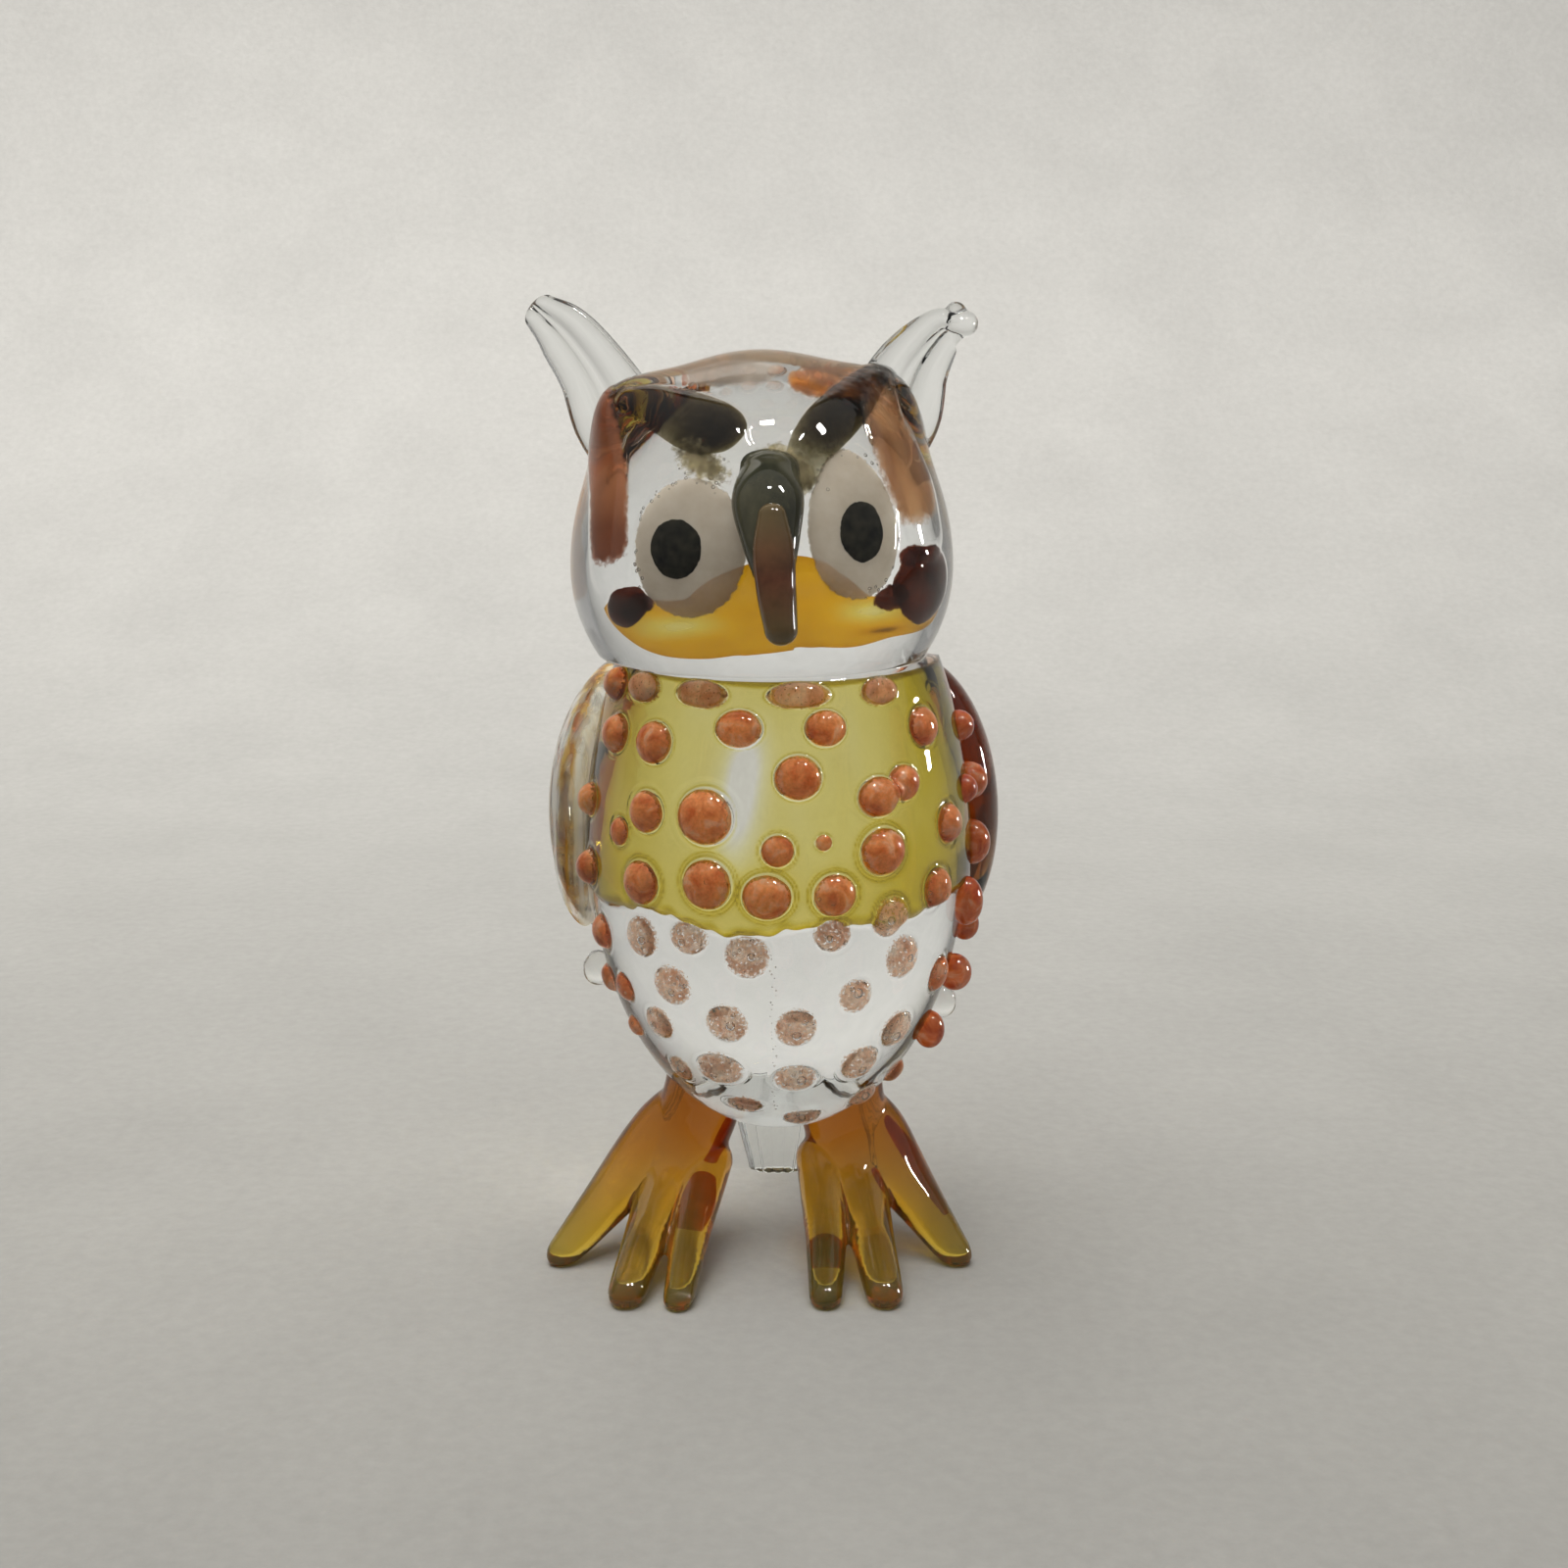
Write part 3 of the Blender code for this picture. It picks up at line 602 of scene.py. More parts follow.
CHIN = face((-12.3, 51.2, 0.5, 1), (-10.4, 50.6, 1.7, 1), (-8.4, 50.2, 2.2, 1), (-5.5, 50.3, 2.4, 1),
            (-3.2, 51.2, 3.1, 1), (-0.6, 51.9, 3.5, 1), (1.8, 52.2, 3.5, 1), (3.8, 51.6, 2.9, 1),
            (6.0, 50.8, 2.1, 1), (8.6, 50.7, 1.5, 1), (11.0, 50.4, 1.0, 1), (12.0, 50.7, 0.5, 1))
CROWN = ((-9.0, -2.6, 66.6, 1.4, 1), (-5.4, -2.4, 68.4, 2.2, 1), (-1.0, -2.2, 69.2, 2.4, 1),
         (3.4, -2.2, 68.4, 2.4, 1), (7.2, -2.4, 66.8, 2.0, 1))
VEIL = ((-6.8, -4.6, 67.0, 1.0, 1), (-5.3, -4.8, 67.6, 1.6, 1), (-3.4, -5.1, 67.9, 1.9, 1), (-1.6, -5.5, 67.8, 1.9, 1),
        (0.2, -5.9, 67.5, 1.4, 1))
EMBERS = ((0.8, -6.0, 67.3, 1.0, 1), (2.6, -5.8, 67.0, 1.9, 1), (4.8, -4.6, 67.1, 2.4, 1), (7.2, -3.4, 66.8, 2.2, 1))
EYES = {"left": ((-6.05, 56.1, 4.45, 5.25), (-6.8, 56.0, 1.95, 2.15)),
        "right": ((5.7, 57.8, 3.65, 5.7), (6.1, 57.1, 1.75, 2.15))}
CHEEKS = {"left": ((-10.5, 51.6, 2.2, 1.4, 25), (-9.4, 52.0, 1.2, 0.8, 10)),
          "right": ((10.9, 52.9, 3.6, 2.9, 0), (8.4, 52.3, 1.7, 1.1, 0), (9.9, 55.1, 1.4, 0.9, 0))}


# Bubbles between the brows: x, z, radius.
BROW_BUBBLES = ((-4.4, 60.9, 0.24), (-5.6, 61.3, 0.1), (-3.4, 62.0, 0.1), (-2.2, 61.6, 0.13), (1.1, 62.3, 0.1),
                (0.4, 62.7, 0.08), (3.4, 61.6, 0.13), (3.7, 60.0, 0.13), (-5.0, 62.2, 0.08), (-6.6, 61.4, 0.07))


def raise_head():
    for route in (LEFT_BROW, RIGHT_BROW):
        HEAD.relief.append(path_relief(HEAD, [row[:4] for row in route], 0.35))
    for route in (LEFT_TEMPLE, RIGHT_TEMPLE):
        HEAD.relief.append(path_relief(HEAD, [row[:4] for row in route], 0.2, flat=2))
    for disc, _ in EYES.values():
        HEAD.relief.append(oval_relief(HEAD, HEAD.front(*disc[:2]), *disc[2:], 0.25, flat=3))
    for (x, z, across, upward, tilt), *_ in CHEEKS.values():
        HEAD.relief.append(oval_relief(HEAD, HEAD.front(x, z), across, upward, 0.2, tilt, flat=2))


def add_skin():
    """The clear outside of body and head, which are one piece of glass, with bubbles in it."""
    azimuths = np.radians(np.concatenate([np.linspace(-96, 96, 340, endpoint=False),
                                          np.linspace(96, 264, 56, endpoint=False)]))[None, :]

    def rows(gather, *spans):
        tilt = np.concatenate([np.linspace(*span, endpoint=False) for span in spans])[:, None]
        up = np.sin(tilt) * np.where(tilt > 0, gather.rise, gather.drop) + 0 * azimuths
        across = gather.radius * np.cos(tilt) * np.sin(azimuths)
        ahead = -gather.radius * gather.depth * np.cos(tilt) * np.cos(azimuths)
        return gather.skin(gather.centre + np.stack([across, ahead, up], -1))

    top = math.asin((NECK - 0.25 - BODY.centre[2]) / BODY.rise)
    bottom = math.asin((NECK + 0.25 - HEAD.centre[2]) / HEAD.drop)
    body = rows(BODY, (-math.pi / 2, -1.0, 20), (-1.0, top, 300), (top, top + 1e-9, 1))
    head = rows(HEAD, (bottom, 1.3, 120), (1.3, math.pi / 2, 14), (math.pi / 2, math.pi, 1))
    crease = (body[-1] + head[0]) / 2
    inward = crease - crease.mean(0)
    crease = crease - unit(inward * (1, 1, 0)) * 0.45
    skin = rings_mesh(np.concatenate([body, crease[None], head]))
    add_piece("clear_gathers", join(skin, bubbles(bubble_spots())), clear_look("clear_glass_skin"),
              "clear_glass", "body_gather", "head_gather")


def on_oval(gather, centre, across, upward, angle, share):
    """The point at this angle and share of the radius of an oval on a gather."""
    right, up, _ = gather.frame(centre)
    return centre + right * math.cos(angle) * share * across + up * math.sin(angle) * share * upward


def bubble_spots():
    """Air bubbles: some in each lower drop, a thread down the belly, and a scatter round the eyes."""
    spots = []
    for azimuth, height, across, upward in DROPS + SMALL_DROPS:
        if height > 33 or abs(azimuth) > 68:
            continue
        count = 2 + int(RNG.integers(0, 4)) if height < 29 else int(RNG.integers(0, 2))
        for n in range(count + 1):
            size = RNG.uniform(0.28, 0.38) if n == 0 else RNG.uniform(0.10, 0.20)
            angle, share = RNG.uniform(0, 2 * math.pi), 0.25 if n == 0 else RNG.uniform(0.45, 0.85)
            at = on_oval(BODY, BODY.at(azimuth, height), across, upward, angle, share)
            spots.append((*BODY.skin(at, -size - 0.06), size))
    for height in np.arange(12.5, 27.0, 0.42):
        at = BODY.at(-1.5 + RNG.uniform(-1.2, 1.2), height + RNG.uniform(-0.2, 0.2))
        spots.append((*BODY.skin(at, -RNG.uniform(0.5, 1.2)), RNG.uniform(0.03, 0.08)))
    for side, count, start, end in (("left", 30, 60, 215), ("right", 18, 40, 150), ("right", 12, 280, 350)):
        x, z, across, upward = EYES[side][0]
        for _ in range(count):
            angle, share = math.radians(RNG.uniform(start, end)), RNG.uniform(0.86, 1.08)
            at = on_oval(HEAD, HEAD.front(x, z), across, upward, angle, share)
            size = RNG.uniform(0.06, 0.15)
            spots.append((*HEAD.skin(at, -size - 0.05), size))
    return spots + [(*HEAD.skin(HEAD.front(x, z), -size - 0.06), size) for x, z, size in BROW_BUBBLES]


def add_casing():
    """The yellow layer, cased in the clear skin: bright, but for a pale streak down its middle, and
    darker towards the bottom and along both edges. Painted shade darkens it towards the sides and in the
    fillet round each lower drop, and each drop has a painted bright rim inside a painted dark ring."""
    look = inlay("yellow_casing", (0.80, 0.68, 0.20))
    look.colour(look.plus(look.painted(), look.noise(0.14, 3, stretch=(1, 1, 0.4)), 0.26),
                (0.10, (0.30, 0.20, 0.02)), (0.36, (0.66, 0.52, 0.05)), (0.60, (0.86, 0.76, 0.24)),
                (0.78, (0.93, 0.88, 0.50)), (0.98, (0.97, 0.96, 0.90)))
    columns, rows = 300, 140
    azimuth = np.linspace(-92, 92, columns)[None, :]
    edge = casing_edge(azimuth) + 0.15 * np.sin(np.radians(azimuth * 31)) + 0.1 * np.sin(np.radians(azimuth * 53))
    height = edge + (NECK - 0.25 - edge) * np.linspace(0, 1, rows)[:, None]
    feet = BODY.at(azimuth + 0 * height, height)
    base = CASING * step(0, 0.5, height - edge)
    outer = BODY.skin(feet, base - COVER, raised=False)
    inner = BODY.skin(feet, base - COVER - 0.3, raised=False)
    # Painted shade: the yellow darkens towards both sides. It is also darker towards the bottom.
    shade = 0.50 - 0.30 * step(20, 66, np.abs(azimuth + 4)) - 0.12 * step(38, 30, height) + 0 * height
    middle = -9.0 - (42.4 - height) * 0.5
    shade += 0.5 * bell(azimuth, middle, 5.5) * step(31, 39, height) * step(45, 40, height)
    shade -= 0.22 * step(0.9, 0.1, height - edge) + 0.40 * step(45.95 + 0.12 * np.sin(azimuth / 4), 46.15, height)
    for drop in DROPS + SMALL_DROPS:
        for around, level, across, upward in lobes(drop):
            far = np.sqrt(oval_square(BODY, BODY.at(around, level), across, upward, 0, feet))
            # Painted light and shade: a bright rim just inside each drop and a dark ring just outside it, plus painted
            # shade in the fillet round each lower drop.
            shade += 0.30 * bell(far, 0.93, 0.05) - 0.26 * bell(far, 1.05, 0.04)
            shade -= (0.22 * bell(far, 1.22, 0.03) + 0.08 * bell(far, 1.15, 0.2)) * step(37, 34, level)
    add_piece("breast_yellow", paint(sheet_mesh(outer, inner), np.tile(shade.ravel(), 2)), look.made,
              "yellow_glass", "breast_casing")


def add_drops():
    """The orange frit in each drop, under its clear cap, and the whole beads on the flank."""
    solid = frit_look("orange_frit_solid", (0.66, 0.15, 0.04), (0.93, 0.36, 0.13), (0.96, 0.66, 0.46), 0.9, 0.01)
    neck = frit_look("orange_frit_neck", (0.62, 0.24, 0.10), (0.86, 0.46, 0.24), (0.93, 0.68, 0.44), 0.3, 0.10)
    loose = frit_look("orange_frit_loose", (0.70, 0.34, 0.19), (0.97, 0.66, 0.46), (0.99, 0.86, 0.72), 0.2, 0.12)
    small = {solid: [], loose: []}
    for number, drop in enumerate(DROPS + SMALL_DROPS, 1):
        parts = []
        for azimuth, height, across, upward in lobes(drop):
            dense = 29.5 < height < 45 or abs(azimuth) > 58
            size = drop_height(azimuth, height, across, upward)
            share, cover, thickness = (0.86, 0.12, size + 0.2) if dense else (0.99, 0.45 * size + 0.25, 0.3)
            mesh = inlay_disc(BODY, BODY.at(azimuth, height), across * share, upward * share, thickness, cover,
                              rag=0.05 if dense else 0.07)
            parts.append(rim_fade(mesh))
        look = solid if dense else neck if height > 45 else loose
        if number <= len(DROPS):
            add_piece(f"frit_{number:02d}", join(*parts), look, "orange_frit", f"frit_drop_{number:02d}")
        else:
            small[look] += parts
    for name, look in (("small_frit_solid", solid), ("small_frit_loose", loose)):
        add_piece(name, join(*small[look]), look, "orange_frit")
    orange = Look("bead_orange", (0.8, 0.25, 0.08), roughness=0.03, transmission=0.45)
    orange.colour(orange.noise(0.8, 3, 0.55, 0.6), (0.34, (0.55, 0.08, 0.02)), (0.54, (0.86, 0.22, 0.06)),
                  (0.72, (0.95, 0.50, 0.30)))
    beads = []
    for azimuth, height, across, upward in BEADS:
        centre = BODY.skin(BODY.at(azimuth, height), 0.4 * across, raised=False)
        beads.append(seat(ball(centre, (across, across, upward), 20, 28), BODY))
    add_piece("flank_beads", join(*beads), orange.made, "orange_frit")


# --- head
def add_face():
    add_eyes()
    add_chin()
    rust = stain_look("temple_rust", (0.34, 0.14, 0.05), (0.74, 0.45, 0.23), 0.74, 0.26, (1.8, 1, 0.4), 0.75, 0.2)
    ember = stain_look("crown_ember", (0.12, 0.03, 0.015), (0.80, 0.34, 0.09), 0.7, 0.4, ragged=0.75, soft=0.2)
    maroon = stain_look("cheek_maroon", (0.006, 0.001, 0.0005), (0.13, 0.022, 0.007), 0.7, 0.36, ragged=0.9)
    tan = stain_look("crown_tan", (0.32, 0.18, 0.075), (0.56, 0.38, 0.20), 0.8, 0.2, (0.4, 1, 1), ragged=0.9)
    veil = stain_look("crown_veil", (0.40, 0.33, 0.27), (0.64, 0.56, 0.48), 0.7, 0.4, (1.6, 1, 0.4), 0.65, 0.4)
    for side, spots in CHEEKS.items():
        parts = []
        for x, z, across, upward, tilt in spots:
            cover = 0.1 + 0.06 * len(parts)
            mesh = inlay_disc(HEAD, HEAD.front(x, z), across, upward, 0.5, cover, tilt=tilt, sides=48, rag=0.16)
            parts.append(rim_fade(mesh, 0.6 if parts else 0.15))
        add_piece(f"{side}_cheek", join(*parts), maroon, "brown_glass", f"{side}_cheek_spot")
    for name, route, thickness, look, node in (
            ("left_temple", LEFT_TEMPLE, 0.5, temple_look(), "left_temple_stripe"),
            ("right_temple", RIGHT_TEMPLE, 0.4, rust, "right_temple_stripe"),
            ("crown_tan", CROWN, 0.4, tan, "crown_band"), ("crown_veil", VEIL, 0.3, veil, None),
            ("crown_embers", EMBERS, 0.3, ember, None)):
        mesh = inlay_strip(HEAD, route, thickness, count=70, sides=15, ends=0.1)
        add_piece(name, paint(mesh, edge_fade(mesh)), look, "brown_glass", *([node] if node else []))


def temple_look():
    """Brown glass, dark at both ends of the stripe and rusty between them."""
    look = inlay("temple_brown", (0.3, 0.1, 0.05), 0.7)
    look.colour(look.plus(look.along(2), look.noise(0.5, 3), 0.003),
                (0.0560, (0.24, 0.09, 0.055)), (0.0576, (0.12, 0.03, 0.018)), (0.0594, (0.36, 0.13, 0.06)),
                (0.0636, (0.66, 0.28, 0.12)), (0.0656, (0.48, 0.17, 0.07)), (0.0672, (0.40, 0.14, 0.07)))
    look.thin(2.0, 4, 0.9, 0.62, 0.85)
    return look.made


def add_eyes():
    opal = stain_look("eye_opal", (0.50, 0.43, 0.34), (0.68, 0.61, 0.51), 0.5, 0.35, ragged=0.8)
    black = stain_look("pupil_black", (0.006, 0.006, 0.005), (0.03, 0.028, 0.018), 0.0, 1.2, ragged=1.0)
    for side, (disc, pupil) in EYES.items():
        mesh = inlay_disc(HEAD, HEAD.front(*disc[:2]), disc[2], disc[3], 0.5, 0.2, sides=72, shares=20, rag=0.02,
                          taper=-0.18 if side == "right" else 0.0)
        add_piece(f"{side}_eye", rim_fade(mesh, 0.12), opal, "opal_glass", f"{side}_eye_disc")
        mesh = inlay_disc(HEAD, HEAD.front(*pupil[:2]), pupil[2], pupil[3], 0.5, 0.08, sides=48, rag=0.06)
        add_piece(f"{side}_pupil_spot", rim_fade(mesh, 0.12), black, "black_glass", f"{side}_pupil")


def add_chin():
    """Amber glass, yellower in a lobe under each eye and browner along its edges."""
    look = inlay("chin_amber", (0.72, 0.40, 0.04), 0.72)
    look.colour(look.plus(look.painted(), look.noise(0.5, 4, 0.6, stretch=(0.5, 1, 1.4)), 0.3),
                (0.16, (0.30, 0.13, 0.01)), (0.36, (0.80, 0.40, 0.015)), (0.60, (0.95, 0.56, 0.03)),
                (0.85, (0.96, 0.78, 0.15)), (1.0, (0.98, 0.90, 0.34)))
    mesh = inlay_strip(HEAD, CHIN, 0.5, 0.32, count=110, sides=25, ends=0.05)
    x, z = mesh[0][:, 0], mesh[0][:, 2]
    lobe = np.exp(-(((x + 6.8) / 3.0) ** 2) - ((z - 50.5 - 0.12 * (x + 6.8)) / 0.9) ** 2)
    lobe += np.exp(-(((x - 6.8) / 2.4) ** 2) - ((z - 51.5) / 0.8) ** 2)
    streak = np.exp(-(((x - 7.6) / 1.5) ** 2) - ((z - 50.0) / 0.25) ** 2)
    shade = 0.22 + 0.16 * edge_fade(mesh, 0.16, 0.03) + 0.45 * lobe - 0.4 * streak
    add_piece("chin_yellow", paint(mesh, shade), look.made, "yellow_glass", "chin_patch")


def add_brows():
    """Thick olive glass: black where it is deep, olive where it thins out."""
    look = inlay("brow_olive", (0.85, 0.84, 0.74)).absorb((2.1, 2.3, 3.0))
    grain = look.ramp(look.noise(1.3, 5, 0.65), (0.35, (0.50, 0.46, 0.32)), (0.60, (0.95, 0.94, 0.86)))
    browner = look.ramp(look.along(2), (0.0657, 1.0), (0.0670, (0.66, 0.42, 0.32)))
    look.link(look.mix(None, grain, browner), "Base Color")
    smear = stain_look("brow_smear", (0.09, 0.065, 0.025), (0.58, 0.49, 0.28), 0.7, 1.0, ragged=0.62, soft=0.1)
    for side, route in (("left", LEFT_BROW), ("right", RIGHT_BROW)):
        add_piece(f"{side}_brow_olive", inlay_strip(HEAD, route, 1.9, 0.1, count=70, sides=21, ends=0.2), look.made,
                  "olive_glass", f"{side}_brow")
    spots = ((0.2, 62.4, 1.8, 1.1, 0), (-5.1, 61.9, 3.0, 1.5, -30), (1.9, 61.0, 1.2, 1.8, 0))
    patches = [inlay_disc(HEAD, HEAD.front(x, z), across, upward, 0.2, 0.05, tilt=tilt, sides=48, rag=0.2)
               for x, z, across, upward, tilt in spots]
    add_piece("brow_smears", join(*[rim_fade(mesh, 0.9) for mesh in patches]), smear, "olive_glass")


def add_beak():
    green = Look("beak_green", (0.05, 0.065, 0.045), roughness=0.03, transmission=0.2)
    green.colour(green.noise(0.6, 4, stretch=(1, 1, 0.5)), (0.3, (0.022, 0.024, 0.014)), (0.7, (0.075, 0.070, 0.040)))
    brown = Look("beak_brown", (0.12, 0.04, 0.025), roughness=0.03, transmission=0.25)
    ends = brown.ramp(brown.along(2), (0.0500, 1.0), (0.0540, 0.0), (0.0562, 0.0), (0.0586, 0.7))
    swirl = brown.ramp(brown.noise(0.5, 3), (0.3, (0.075, 0.022, 0.008)), (0.7, (0.18, 0.062, 0.026)))
    brown.link(brown.mix(ends, swirl, (0.14, 0.11, 0.045)), "Base Color")
    root = ((-0.3, -11.2, 61.3, 2.0, 1.4), (-0.4, -13.2, 59.4, 2.5, 1.8), (-0.2, -14.8, 56.8, 2.0, 1.6),
            (0.0, -15.6, 55.0, 1.5, 1.2))
    fall = ((-0.1, -15.4, 58.6, 1.0, 0.9), (0.0, -16.4, 56.4, 1.4, 1.0), (0.2, -17.2, 53.6, 1.35, 1.2),
            (0.5, -18.0, 51.3, 1.15, 1.1))
    add_piece("beak_green_root", seat(rod(root, count=60), HEAD), green.made, "olive_glass", "beak_root")
    add_piece("beak_brown_drop", rod(fall), brown.made, "brown_glass", "beak_drop")


def add_ears():
    clear = clear_look("ear_clear", (0.97, 0.985, 0.985))
    tufts = {
        "left": (((-9.9, 0, 61.9, 3.5, 1.0), (-11.6, 0, 64.4, 3.4, 1.15), (-13.3, 0, 67.6, 2.7, 1.1),
                  (-15.3, 0, 70.3, 2.2, 0.95), (-17.1, 0, 71.9, 1.4, 0.8)), (0.84, 0.0, 0.54)),
        "right": (((7.9, 0, 62.6, 3.5, 1.3), (8.9, 0, 65.0, 3.6, 1.4), (10.2, -0.2, 68.0, 2.8, 1.3),
                   (12.0, -0.4, 70.3, 1.9, 1.2), (13.3, -0.5, 71.0, 1.1, 1.1)), (0.8, 0.1, -0.6)),
    }
    for side, (route, wide) in tufts.items():
        tuft = rod(route, wide, count=110, sides=80, groove=0.6)
        if side == "right":
            knob = [(13.1, -0.5, 70.2, 0.6, 0.6), (13.4, -0.5, 71.0, 1.45, 1.35), (13.2, -0.5, 71.8, 0.8, 0.8)]
            tuft = fuse([tuft, rod(knob, count=12)], voxel=0.11, rounds=3)
        add_piece(f"{side}_ear_tuft", seat(tuft, HEAD), clear, "clear_glass", f"{side}_ear")


# --- wings, legs and tail
def wing_mesh(leaf, low, high, rag=0.0):
    """A leaf on the body's side, from the lift low to high at its middle."""
    azimuth, height, across, upward, tilt = leaf
    points, share = disc_grid(BODY, BODY.at(azimuth, height), across, upward, tilt, 0.25, 96, 28, rag)
    swell = np.clip(1 - share**2.4, 0, 1) ** 0.6 * np.ones(points.shape[:2])
    middle = low + (high - low) * 0.25
    outer = BODY.skin(points, middle + (high - middle) * swell, raised=False)
    inner = BODY.skin(points, middle + (low - middle) * np.minimum(1, swell * 4), raised=False)
    return rings_mesh(np.concatenate([outer, inner[-2::-1]]))


def add_wings():
    """Clear leaves with a bead at each tip: amber and brown streaks in the left one, with white painted beside them as
    painted highlight, brown in the right.
    """
    clear = clear_look("wing_clear", (0.965, 0.975, 0.965))
    leaves = {"left": ((-121, 34.6, 8.8, 12.2, 12), 4.7, (-98, 21.6, 1.2)),
              "right": ((126, 34.0, 8.2, 12.6, -12), 4.5, (102, 18.8, 1.2))}
    # The white and cream stops are painted highlight. The gold and brown stops are the streaks' own colour.
    streaks = inlay("wing_streaks_and_painted_highlight", (0.5, 0.3, 0.1))
    band = streaks.noise(0.8, 4, 0.6, 0.2, stretch=(1, 1, 0.08))
    streaks.colour(streaks.plus(streaks.painted(), band, 0.5),
                   (0.58, (0.96, 0.94, 0.88)), (0.70, (0.90, 0.86, 0.74)), (0.76, (0.80, 0.58, 0.20)),
                   (0.84, (0.34, 0.12, 0.04)), (0.92, (0.76, 0.56, 0.18)), (1.0, (0.40, 0.26, 0.12)))
    # The white of this core is painted highlight, for bright light bent through the thick leaf. Only its gold and
    # brown band is the glass's own colour.
    core = inlay("wing_core_painted_highlight", (0.9, 0.9, 0.85), 0.45)
    wisp = core.noise(0.9, 4, 0.6, 0.1, stretch=(1, 1, 0.06))
    core.colour(core.plus(core.painted(), wisp, 0.45),
                (0.50, (0.93, 0.92, 0.88)), (0.66, (0.90, 0.84, 0.66)), (0.74, (0.62, 0.36, 0.07)),
                (0.84, (0.40, 0.15, 0.04)), (0.92, (0.72, 0.52, 0.16)), (1.0, (0.93, 0.92, 0.87)),
                (1.0, (0.92, 0.92, 0.90)))
    core.link(core.ramp(core.noise(1.0, 3, 0.5, 0.25, stretch=(1, 1, 0.05)), (0.40, 0.12), (0.56, 0.92)), "Alpha")
    brown = inlay("wing_brown", (0.90, 0.76, 0.66)).absorb((0.05, 0.13, 0.26))
    low = brown.ramp(brown.along(2), (0.028, 0.0), (0.044, 1.0))
    swirl = brown.ramp(brown.noise(0.16, 3, warp=0.5, stretch=(1, 1, 0.5)), (0.35, (0.62, 0.38, 0.22)),
                       (0.60, (0.92, 0.74, 0.52)))
    brown.link(brown.mix(low, swirl, (0.44, 0.20, 0.11)), "Base Color")
    for side, (leaf, thickness, (azimuth, height, radius)) in leaves.items():
        add_piece(f"{side}_wing_leaf", wing_mesh(leaf, -0.06, thickness), clear, "clear_glass", f"{side}_wing")
        centre = BODY.skin(BODY.at(azimuth, height), radius + 0.15, raised=False)
        bead = [(*(centre + (0, 0, up)), radius, radius) for up in (-0.2, 0.2)]
        add_piece(f"{side}_bead", rod(bead, count=4), clear, "clear_glass", f"{side}_wing_bead")
    mesh = wing_mesh((-133, 34.6, 4.6, 9.8, 12), 1.2, 2.2, rag=0.05)
    add_piece("left_wing_streaks_and_painted_highlight", paint(mesh, (azimuth_of(mesh[0]) + 155) / 40), streaks.made, "brown_glass")
    # Painted highlight: the white core seen through the front of the left leaf.
    mesh = wing_mesh((-105, 34.6, 3.3, 10.6, 12), 0.5, 3.7, rag=0.04)
    lift = np.linalg.norm(mesh[0] - BODY.skin(mesh[0], raised=False), axis=1)
    add_piece("left_wing_core_painted_highlight", paint(mesh, lift / 3.7), core.made, "opal_glass")
    mesh = wing_mesh((126, 35.4, 8.2 * 0.86, 12.6 * 0.86, -12), 0.4, 3.9, rag=0.04)
    add_piece("right_wing_core", mesh, brown.made, "brown_glass")


# Each leg, which runs on into its middle toe, then its outer and inner toes.
# Rows of x, y, z, half width and half thickness.
LEGS = {
    "left": (
        [(-5.1, 0.8, 14.6, 3.1, 2.9), (-5.9, 0.3, 10.6, 3.2, 2.8), (-7.2, -0.7, 7.4, 3.0, 2.5),
         (-8.5, -3.2, 4.9, 2.3, 2.1), (-9.8, -8.2, 3.1, 1.75, 1.7), (-10.9, -13.0, 1.0, 1.5, 1.45)],
        [(-6.9, 1.2, 11.2, 1.6, 1.6), (-8.7, 0.4, 8.8, 2.4, 2.0), (-10.9, -1.4, 6.1, 2.5, 2.0),
         (-13.6, -4.1, 3.6, 1.9, 1.7), (-16.1, -6.2, 1.1, 1.4, 1.35)],
        [(-5.2, -1.0, 6.4, 1.9, 1.8), (-5.8, -3.8, 4.9, 1.8, 1.8), (-6.5, -8.4, 3.0, 1.5, 1.5),
         (-7.1, -13.7, 0.7, 1.2, 1.15)],
    ),
    "right": (
        [(5.0, 0.8, 14.4, 3.3, 2.9), (5.3, 0.3, 10.6, 3.4, 2.8), (5.9, -0.7, 7.4, 3.1, 2.5),
         (6.6, -3.2, 4.9, 2.3, 2.1), (7.4, -8.2, 3.1, 1.75, 1.7), (8.1, -13.0, 1.0, 1.5, 1.45)],
        [(6.6, 1.2, 11.0, 1.6, 1.6), (7.9, 0.4, 8.6, 2.4, 2.0), (9.4, -1.4, 6.0, 2.5, 2.0),
         (11.6, -4.1, 3.6, 1.9, 1.7), (13.7, -6.2, 1.1, 1.4, 1.35)],
        [(3.5, -1.0, 6.6, 1.9, 1.8), (3.7, -3.8, 4.9, 1.8, 1.8), (3.9, -8.4, 3.0, 1.6, 1.6),
         (3.8, -13.3, 0.8, 1.3, 1.25)],
    ),
}


